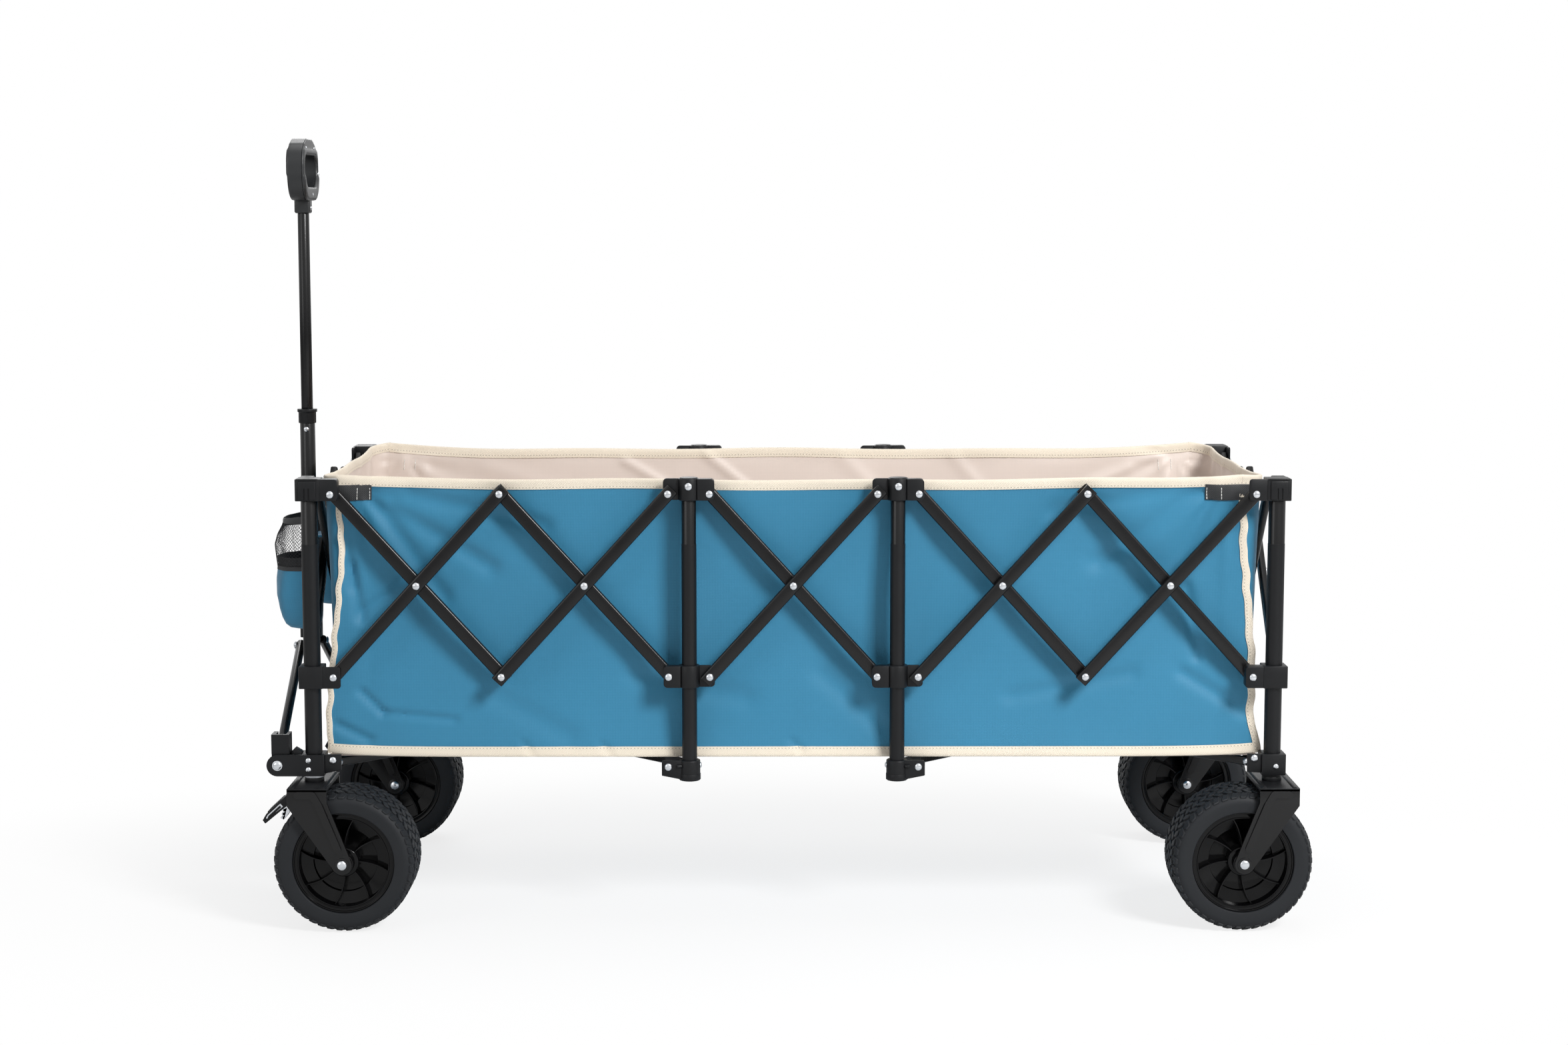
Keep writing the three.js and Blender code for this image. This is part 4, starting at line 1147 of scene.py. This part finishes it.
near_creases = (
    ((60, 305), (88, 277), 5, 3.9), ((88, 277), (180, 268), 4.5, 3.3), ((30, 262), (70, 242), 6, 3.6),
    ((1134, 440), (1150, 350), 8, 4.2), ((1130, 330), (1210, 280), 9, 3.6), ((52, 470), (62, 400), 7, 4.5),
    ((62, 410), (120, 452), 7, 3.3), ((45, 500), (52, 440), 6, 3.6), ((110, 545), (230, 470), 13, 4.8),
    ((80, 560), (170, 430), 12, 3.9), ((130, 565), (300, 525), 12, 3.3), ((270, 238), (282, 224), 4, 2.4),
    ((372, 236), (384, 223), 4, 2.4), ((620, 240), (634, 226), 4, 2.4), ((1150, 560), (1020, 470), 15, 4.8),
    ((1165, 550), (1110, 440), 12, 3.9), ((1130, 570), (960, 535), 13, 3.0),
    ((905, 300), (1060, 330), 11, 2.7), ((420, 330), (560, 300), 16, 2.7), ((240, 300), (330, 250), 16, 2.4),
    ((660, 330), (740, 260), 14, 2.7),
)
far_creases = (
    ((381, 566), (442, 530), 7, 2.7), ((500, 575), (556, 530), 7, 2.7), ((60, 570), (62, 500), 8, 1.9),
    ((88, 560), (92, 490), 9, 1.5), ((1060, 535), (1150, 572), 9, 2.0), ((1165, 560), (1172, 490), 9, 1.9),
    ((1110, 550), (1000, 500), 10, 1.6), ((180, 560), (300, 520), 14, 1.2), ((700, 570), (760, 510), 12, 1.4),
    ((860, 572), (905, 520), 10, 1.5), ((640, 330), (560, 280), 14, 1.2), ((300, 400), (360, 300), 16, 1.2),
)


def rim_line(u, face):
    """The rim stands highest where the straps pull the corners up."""
    lift = 7 * math.exp(-max(0, u - 40) / 85) + 7 * math.exp(-max(0, length - 40 - u) / 85)
    return rim_height + lift + 0.9 * math.sin(u / 47 + face) + 0.7 * math.sin(u / 101 + 2 * face)


def hem_line(u):
    """The lower edge stands on the brackets at the ends and hangs lower between them."""
    return 219.3 + 7 * math.exp(-u / 50) + 7 * math.exp(-(length - u) / 50)


def looseness(z):
    """How freely a wall hangs at a height: 0 at its hem and rim, 1 half way up."""
    return math.sin(math.pi * clamped((z - floor_height) / (rim_height - floor_height))) ** 0.7


# The cloth billows between the posts, which hold it, and the straps pull it at these places.
billow, pull_height, pull_places = 12.0, 572, (58, length - 62)


def sag(u, z, face):
    """How far a side wall stands in from the bars, in millimetres."""
    loose = looseness(z)
    ends = max(0, min(1, (u - 10) / 60, (length - 10 - u) / 60))
    depth = billow * loose * (0.3 + 0.7 * ends)
    depth += 1.9 * loose * math.sin(u / 58 + z / 120 + 1.7 * face) * math.sin(z / 66 - u / 190)
    depth += 1.1 * loose * math.sin(u / 31 - z / 47 + face)
    for post in ("mid_front", "mid_rear"):
        at = (post_x[post] - post_x["front"]) / mm
        depth -= 2.2 * loose * math.exp(-(((u - at) / 26) ** 2))
    for at in pull_places:
        reach = math.hypot(u - at, z - pull_height)
        turn = math.atan2(pull_height - z, abs(u - at) + 1)
        depth += 2.0 * math.exp(-reach / 130) * min(1, reach / 45) * math.sin(11 * turn + face)
    if z > rim_height - 22:
        depth += 1.5 * math.sin(u / 36 + 2 * face) * (1 - min(1, (rim_height + 8 - z) / 30))
    for fold in near_creases if face < 0 else far_creases:
        depth += crease(u, z, *fold)
    return max(-0.6, depth)


def side_place(face):
    """The outer face of a side wall, by its length and height, in millimetres."""

    def place(s, z, out=0.0):
        first, last = seams_at(z)
        u = first + (last - first) * s
        return (u, face * (bag_half - sag(u, z, face) + out), z)

    return place


def swept_grid(name, columns, rows, place, measure, material):
    """A cloth of quads. Its UV map is in metres."""
    mesh = bpy.data.meshes.new(name)
    points = [Vector(place(c, r)) * mm + Vector(front_post) for r in rows for c in columns]
    wide = len(columns)
    quads = [
        (j * wide + i, j * wide + i + 1, (j + 1) * wide + i + 1, (j + 1) * wide + i)
        for j in range(len(rows) - 1)
        for i in range(wide - 1)
    ]
    mesh.from_pydata(points, [], quads)
    threads = mesh.uv_layers.new(name="UVMap")
    flat = [measure(c, r) for r in rows for c in columns]
    for spot in mesh.loops:
        threads.data[spot.index].uv = [value * mm for value in flat[spot.vertex_index]]
    mesh.materials.append(material)
    return in_scene(name, mesh)


def turned(piece):
    """Turns a cloth over, so its face side looks outwards."""
    edit_all(piece)
    bpy.ops.mesh.flip_normals()
    leave_editing()
    return piece


def lined(piece, thickness=cloth_thick):
    """Gives a cloth its thickness, with the lining on its inner side."""
    piece.data.materials.append(lining)
    return apply_modifier(
        piece, "SOLIDIFY", thickness=thickness * mm, offset=-1, material_offset=1, use_even_offset=False
    )


def steps(low, high, count):
    return [low + (high - low) * i / count for i in range(count + 1)]


# A binding is folded over the edge: these are its steps down the outside, round and up inside.
binding = ((12.6, 0.9, 0), (9.5, 1.3, 3.1), (4.5, 1.3, 8.1), (1.2, 1.2, 11.4), (0, 0.3, 12.9),
           (-0.5, -0.6, 13.8), (0, -1.6, 14.7), (1.2, -2.4, 15.9), (4.5, -2.5, 19.2), (9.5, -2.5, 24.2),
           (12.6, -2.1, 26))


def bound(name, face_place, line, columns, measure, up):
    """Tape folded over an edge of a wall. Up is 1 under the rim and -1 above the hem."""

    def place(c, k):
        drop, out, _ = binding[k]
        ripple = 0.25 * math.sin(c * 9.7 + k) + 0.2 * math.sin(c * 23.1)
        return face_place(c, line(c) - up * drop, out + ripple)

    return swept_grid(
        name, columns, range(len(binding)), place, lambda c, k: (measure(c), binding[k][2]), twill
    )


def ribbon(name, face_place, path, half_width, lift, material):
    """A flat strip sewn on a wall along a path of (s, z, ds, dz, run)."""
    offsets = ((-1, -0.3), (-1, 0.8), (-0.8, 1), (0, 1), (0.8, 1), (1, 0.8), (1, -0.3))

    def place(i, k):
        s, z, ds, dz, _ = path[i]
        across, up = offsets[k]
        return face_place(s + ds * across * half_width, z + dz * across * half_width, lift * up)

    def measure(i, k):
        turned_down = 1.2 * abs(offsets[k][1]) if k in (0, 6) else 0
        return path[i][4], (offsets[k][0] + 1) * half_width + turned_down

    return swept_grid(name, range(len(path)), range(len(offsets)), place, measure, material)


def thickened(piece, thickness=0.5, offset=0.0):
    return apply_modifier(piece, "SOLIDIFY", thickness=thickness * mm, offset=offset)


def stitches(face_place, spots):
    """Short raised threads, each between two (s, z) points of a wall."""
    made = [rod(0.55, *[face_place(*end, 1.5) for end in ends], 6) for ends in spots]
    return placed(painted(joined(*made), thread), front_post)


wall_columns, wall_rows = steps(0, 1, 250), steps(0, 1, 84)


def seam_path(at_front):
    """The corner's cream seam, as a path on the side wall."""
    path, run, last = [], 0, None
    for z in steps(224, 574, 70):
        first, final = seams_at(z)
        wave = 0.8 * math.sin(z / 9.0) + 0.6 * math.sin(z / 5.1)
        point = ((first if at_front else final) + wave, z)
        if last:
            run += math.dist(point, last)
        last = point
        path.append([(point[0] - first) / (final - first), z, 1 / (final - first), 0, run])
    return path


strap_height, strap_half = 564.5, 10.2
strap_stitches = steps(555.5, 571.5, 4)[:-1]


def along_strap(u):
    """A place along a side wall, in millimetres, as its share of the run between the seams."""
    first, last = seams_at(565)
    return (u - first) / (last - first)


# Where each strap starts and ends along the wall, and where its rows of stitches stand.
strap_runs = ((20, 77.5, (59.3, 75.2)), (length - 89.5, length - 22, (length - 87.5, length - 69)))

for side, face in (("near", -1), ("far", 1)):
    carrier = "frame_root" if side == "near" else "post_front_far"
    where = side_place(face)

    def low_line(c):
        return hem_line(17 + (length - 34) * c)

    def top_line(c):
        return rim_line(38 + (length - 76) * c, face)

    def wall_point(c, r):
        low, high = low_line(c) + 1.5, top_line(c) - 1.2
        return where(c, low + (high - low) * r)

    wall = swept_grid(
        f"wall_{side}", wall_columns, wall_rows, wall_point, lambda c, r: wall_point(c, r)[::2], oxford
    )
    if side == "far":
        turned(wall)
    lined(wall)
    rim_tape = bound(f"rim_tape_{side}", where, top_line, wall_columns, lambda c: c * length, 1)
    hem_tape = bound(f"hem_tape_{side}", where, low_line, wall_columns, lambda c: c * length, -1)
    seams = [
        ribbon(f"seam_front_{side}", where, seam_path(True), 3.5, 1.2, twill),
        ribbon(f"seam_rear_{side}", where, seam_path(False), 4.6, 1.2, twill),
    ]
    for tape in (rim_tape, hem_tape, *seams):
        if (tape is rim_tape) == (side == "near"):
            turned(tape)
        thickened(tape)
    tapes = joined(rim_tape, hem_tape, *seams)

    # The webbing runs from behind the corner's bracket, with two rows of stitches at its end.
    straps, threads = [], []
    for start, end, marks in strap_runs:
        path = [
            [along_strap(u), strap_height + 0.4 * math.sin(u / 9), 0, 1, u - start]
            for u in steps(start, end, 24)
        ]
        strap = ribbon("strap", where, path, strap_half, 1.7, webbing)
        straps.append(thickened(turned(strap) if side == "near" else strap))
        for mark in marks:
            s = along_strap(mark)
            threads += [((s, z), (s, z + 3.0)) for z in strap_stitches]
    sewn = stitches(lambda s, z, out: where(s, z, out + 0.7), threads)
    inside = [((s, z - 4), (s, z - 1)) for (s, z), _ in threads]
    sewn_inside = stitches(lambda s, z, out: where(s, z, -cloth_thick - 0.2), inside)
    straps = joined(*straps, sewn, sewn_inside)

    for piece, name in ((wall, "wall"), (tapes, "tapes"), (straps, "straps")):
        fitted(piece, f"{name}_{side}", carrier, "blue_oxford", "bag", smooth=60)
        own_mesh(piece)


# ---- Bag: end walls ----
# The ends are one cloth each, which turns round both corners to the side seams. They stand
# just behind the crossed bars, and the front one carries two bottle pouches.

corner_run, corner_radius, end_rim = 40.0, 34.0, 580.5
end_run = 2 * corner_run + 2 * (bag_half - corner_radius)
mid_creases = (
    ((60, 560), (90, 440), 12, 2.6), ((110, 570), (120, 470), 14, 2.2), ((200, 560), (230, 400), 18, 2.4),
    ((330, 560), (300, 430), 16, 2.2), ((410, 560), (380, 440), 12, 2.6), ((150, 330), (260, 290), 18, 2.0),
)


def end_place(end):
    """The outer face of an end wall, by its run from the near seam and its height."""
    table = front_seam if end == "front" else rear_seam

    def place(t, z, out=0.0):
        face = -1 if t < end_run / 2 else 1
        edge = min(t, end_run - t)
        turn = min(1, edge / corner_run) * math.pi / 2
        seam, flat = along_table(table, z), along_table(end_line, z)
        x = seam - (seam - flat) * math.sin(turn)
        y = bag_half - corner_radius * (1 - math.cos(turn)) - max(0, edge - corner_run)
        at_seam = seam if end == "front" else length - seam
        y -= sag(at_seam, z, face) * math.cos(turn) ** 2
        loose = looseness(z) * math.sin(turn) ** 2
        depth = 2.4 * loose * (1 + math.sin(t / 31 + z / 90) * math.sin(z / 70))
        for fold in mid_creases:
            depth += crease(t, z, *fold) * math.sin(turn) ** 2
        x += max(0, depth) - out * math.sin(turn)
        y += out * math.cos(turn)
        return (x if end == "front" else length - x, face * y, z)

    return place


around = [*steps(0, corner_run, 16), *steps(corner_run, end_run - corner_run, 78)[1:]]
around += steps(end_run - corner_run, end_run, 16)[1:]

for end, carrier in (("front", "frame_root"), ("rear", "post_rear_near")):
    where = end_place(end)

    def end_top(t):
        edge = min(t, end_run - t)
        corner = rim_line(38 if end == "front" else length - 38, -1 if t < end_run / 2 else 1)
        return end_rim + (corner - end_rim) * math.exp(-edge / 55) + 0.8 * math.sin(t / 33)

    def end_low(t):
        return 219.8 + 4.6 * math.exp(-min(t, end_run - t) / 40)

    def end_point(t, r):
        low, high = end_low(t) + 1.5, end_top(t) - 1.2
        return where(t, low + (high - low) * r)

    wall = swept_grid(
        f"wall_{end}", around, wall_rows, end_point, lambda t, r: (t, end_point(t, r)[2]), oxford
    )
    rim_tape = bound(f"rim_tape_{end}", where, end_top, around, lambda t: t, 1)
    hem_tape = bound(f"hem_tape_{end}", where, end_low, around, lambda t: t, -1)
    if end == "front":
        turned(wall)
        turned(hem_tape)
    else:
        turned(rim_tape)
    lined(wall)
    tapes = joined(thickened(rim_tape), thickened(hem_tape))
    for piece, name in ((wall, "wall"), (tapes, "tapes")):
        fitted(piece, f"{name}_{end}", carrier, "blue_oxford", "bag", smooth=60)
        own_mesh(piece)


# ---- Bag: floor and its folding frame ----
# The floor cloth is sewn to the hem. Under it, four flat steel rods from the feet meet at a
# moulded hub in each end bay, and lift the middle of the floor when the wagon folds.

hub_x = (post_x["mid_front"] - post_x["front"]) / mm / 2
hub_reach = math.hypot(hub_x, post_y["far"] / mm)
floor_cloth, floor_half, hub_lift = 221.5, 226.5, 2.2


def floor_point(x, y):
    """The cloth rests on the hubs and hangs a little between them and the hem."""
    edge = max(abs(y) / 226, abs(x - length / 2) / (length / 2 - 18))
    z = floor_cloth + 0.8 * math.sin(x / 53) * math.sin(y / 61) * (1 - edge)
    for at in (hub_x, length - hub_x):
        z += hub_lift * math.exp(-((math.hypot(x - at, y) / 60) ** 2))
    return (x, y, z)


post_rows = ("front", "mid_front", "mid_rear", "rear")
joins = (17.5, 340, length / 2, length - 340, length - 17.5)
for (start, stop), row in zip(zip(joins, joins[1:]), post_rows):
    along, across = steps(start, stop, 40), steps(-floor_half, floor_half, 56)
    cloth = swept_grid(f"floor_{row}", along, across, floor_point, lambda x, y: (x, y), lining)
    cloth.data.materials.append(oxford)
    apply_modifier(cloth, "SOLIDIFY", thickness=1.6 * mm, offset=-1, material_offset=1)
    carrier = "frame_root" if row == "front" else f"post_{row}_near"
    fitted(cloth, f"floor_{row}", carrier, "blue_oxford", "bag", smooth=60)
    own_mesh(cloth)

for row in post_rows:
    for side in ("near", "far"):
        angle = hub_angle if row in ("front", "rear") else 180 - hub_angle
        bar = block((29, -7.3, 205), (hub_reach - 4, -2.3, 217))
        heads = [rivet_at(x, -7.3, 211) for x in (35, hub_reach - 18)]
        bar = placed(joined(eased(bar, powder_coat, 1.6, 3), *heads), turn=(0, 0, angle))
        stand(bar, row, side, "floor_rod", "black_steel", "bag")
        turn = math.radians(angle)
        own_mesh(bar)

for end, at, carrier in (("front", hub_x, "frame_root"), ("rear", length - hub_x, "post_rear_near")):
    disc = soften(upright(34, 205.5, 222, 64, at), 2.5, 4)
    drilled(disc, upright(24, 200, 208.5, 48, at))
    boss = soften(upright(10, 203, 212, 32, at), 1.2, 3)
    cheeks = []
    for index in range(4):
        cheek = soften(block((14, -8.6, 204.6), (33, 8.6, 209.4)), 0.9, 2)
        placed(cheek, turn=(0, 0, 45 + 90 * index))
        cheeks.append(placed(cheek, (at * mm, 0, 0)))
    disc = joined(*[painted(part, nylon) for part in (disc, boss, *cheeks)])
    screw = set_at(placed(rivet(4.4, 2.2), turn=(90, 0, 0)), at, 0, 203.2)
    disc = placed(joined(disc, screw), front_post)
    fitted(disc, f"hub_{end}", carrier, "black_plastic", "bag")
    away = 1 if end == "front" else -1
    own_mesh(disc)


# ---- Bag: bottle pouches ----
# Each is a cup of the blue cloth, topped with an open net and an elastic band that holds a
# bottle. A tab at the back sews it to the front wall between the crossed bars.

# Hard-twisted polyester: black and matt, knitted to a net with 4 to 5 mm cells.
net_yarn = woven("Black polyester net", "#1c1d1f", 0.8, "along", (0.8, 1.5), 0.7, 0.4)

pouch_y, pouch_half, pouch_back, pouch_depth = 115.0, 46.0, -13.5, 52.0
cup_low, cup_high, net_low, net_high = 373, 456, 455, 515
half_round, band_low, band_wide = 75, 511.5, 9.5
pouch_form = ((373, 0.02, 0.02), (373.3, 0.3, 0.36), (373.9, 0.52, 0.6), (376, 0.68, 0.76), (381, 0.79, 0.87),
              (390, 0.88, 0.93), (402, 0.95, 0.97), (418, 1.0, 1.0), (440, 0.98, 1.0), (456, 0.93, 0.98),
              (470, 0.96, 0.99), (486, 0.99, 0.99), (500, 0.93, 0.95), (512, 0.82, 0.9), (524, 0.77, 0.86))


def form_at(z):
    for (a, *low), (b, *high) in zip(pouch_form, pouch_form[1:]):
        if z <= b:
            t = (z - a) / (b - a)
            return [p + (q - p) * t for p, q in zip(low, high)]
    return pouch_form[-1][1:]


def pouch_place(face):
    """The outside of a pouch, by its turn from -1 to 1 round the cup, and its height."""

    def place(t, z, out=0.0):
        deep, wide = form_at(z)
        turn = t * math.pi / 2
        folds = 0.9 * math.sin(t * 11 + z / 30) + 1.1 * math.sin(t * 5.5 - z / 47)
        tuck = ((t + 0.62 * face + (z - 420) / 500) / 0.09) ** 2
        folds -= 3.2 * math.exp(-tuck) * clamped((z - 380) / 30)
        reach = out + folds * min(1, deep * 1.3) * min(1, (530 - z) / 40)
        x = pouch_back - (pouch_depth * deep + reach) * math.cos(turn) ** 0.62
        y = (pouch_half * wide + reach) * math.copysign(abs(math.sin(turn)) ** 0.78, t)
        return (x, face * pouch_y + y, z)

    return place


def netted(name, place, half_turns, rows, low, high):
    """Diamond cells over a pouch's surface, made into yarns."""
    mesh = bpy.data.meshes.new(name)
    numbers, points, faces = {}, [], []
    for j in range(rows + 1):
        for i in range(half_turns + 1):
            if (i + j) % 2 == 0:
                numbers[i, j] = len(points)
                spot = Vector(place(2 * i / half_turns - 1, low + (high - low) * j / rows)) * mm
                points.append(spot + Vector(front_post))
    for j in range(1, rows):
        for i in range(1, half_turns):
            if (i + j) % 2:
                faces.append([numbers[i - 1, j], numbers[i, j - 1], numbers[i + 1, j], numbers[i, j + 1]])
    mesh.from_pydata(points, [], faces)
    mesh.uv_layers.new(name="UVMap")
    mesh.materials.append(net_yarn)
    return apply_modifier(
        in_scene(name, mesh), "WIREFRAME", thickness=0.7 * mm, use_replace=True, use_even_offset=False
    )


for side, face in (("near", -1), ("far", 1)):
    carrier = "frame_root" if side == "near" else "post_front_far"
    where = pouch_place(face)
    turns = steps(-1, 1, 72)
    heights = [cup_low, 373.15, 373.3, 373.6, 373.9, 375, 376, 378.5, 381, 385, *steps(390, cup_high, 22)]

    def round_cup(name, heights, material, out=0.0):
        """A strip of cloth round the cup, at each of the heights."""
        name = f"{name}_{side}"
        return swept_grid(
            name, turns, heights, lambda t, z: where(t, z, out), lambda t, z: (half_round * t, z), material
        )

    def behind(t, z, inset=0.6):
        """The pouch's back, which lies against the front wall."""
        return (pouch_back - 0.6, face * pouch_y + t * (pouch_half * form_at(z)[1] - inset), z)

    cup = round_cup("cup", heights, oxford)
    across, up = steps(-1, 1, 24), steps(374.5, 490, 30)
    back = swept_grid(f"back_{side}", across, up, behind, lambda t, z: (pouch_half * t, z), oxford)
    cup = joined(*[lined(turned(piece), 1.0) for piece in (cup, back)])
    liner = round_cup("liner", steps(454, 470, 6), net_yarn, -1.2)
    hem = round_cup("hem", steps(453, 458.5, 4), net_yarn, 0.5)

    def band_place(t, k):
        """The elastic stands higher towards the post, and its edges roll a little."""
        x, y, z = where(t, 518, 0.8 if 0.1 < k < 0.9 else 0.2)
        return (x, y, band_low + 4.5 * (1 - math.cos(t * math.pi / 2) ** 0.8) + band_wide * k)

    edges = (0, 0.06, 0.3, 0.5, 0.7, 0.94, 1)
    band = swept_grid(
        f"band_{side}", turns, edges, band_place, lambda t, k: (half_round * t, band_wide * k), webbing
    )
    rear_band = swept_grid(
        f"rear_band_{side}",
        steps(-1, 1, 16),
        (0, 0.1, 0.5, 0.9, 1),
        lambda t, k: (pouch_back - 0.4, face * pouch_y + 0.86 * pouch_half * t, 514.5 + band_wide * k),
        lambda t, k: (46 * t, band_wide * k),
        webbing,
    )
    for piece in (liner, hem, band, rear_band):
        thickened(turned(piece), 0.9, -1)
    net = netted(f"net_{side}", where, 66, 26, net_low, net_high)
    rear_net = netted(f"rear_net_{side}", lambda t, z: behind(t, z, 1), 38, 14, 488, 516)
    tab_wall = along_table(end_line, 497)
    tab = swept_grid(
        f"tab_{side}",
        steps(pouch_back - 0.5, tab_wall + 1.5, 10),
        steps(-24, 24, 8),
        lambda x, y: (x, face * pouch_y + y, 497.5),
        lambda x, y: (x, y),
        oxford,
    )
    thickened(tab, 2.4, 0)
    trim = joined(net, rear_net, liner, hem, band, rear_band, tab)
    for piece, name in ((cup, "pouch"), (trim, "pouch_trim")):
        fitted(piece, f"{name}_{side}", carrier, "blue_oxford", "bag", smooth=60)
        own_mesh(piece)


bpy.data.objects.remove(rivet_head)
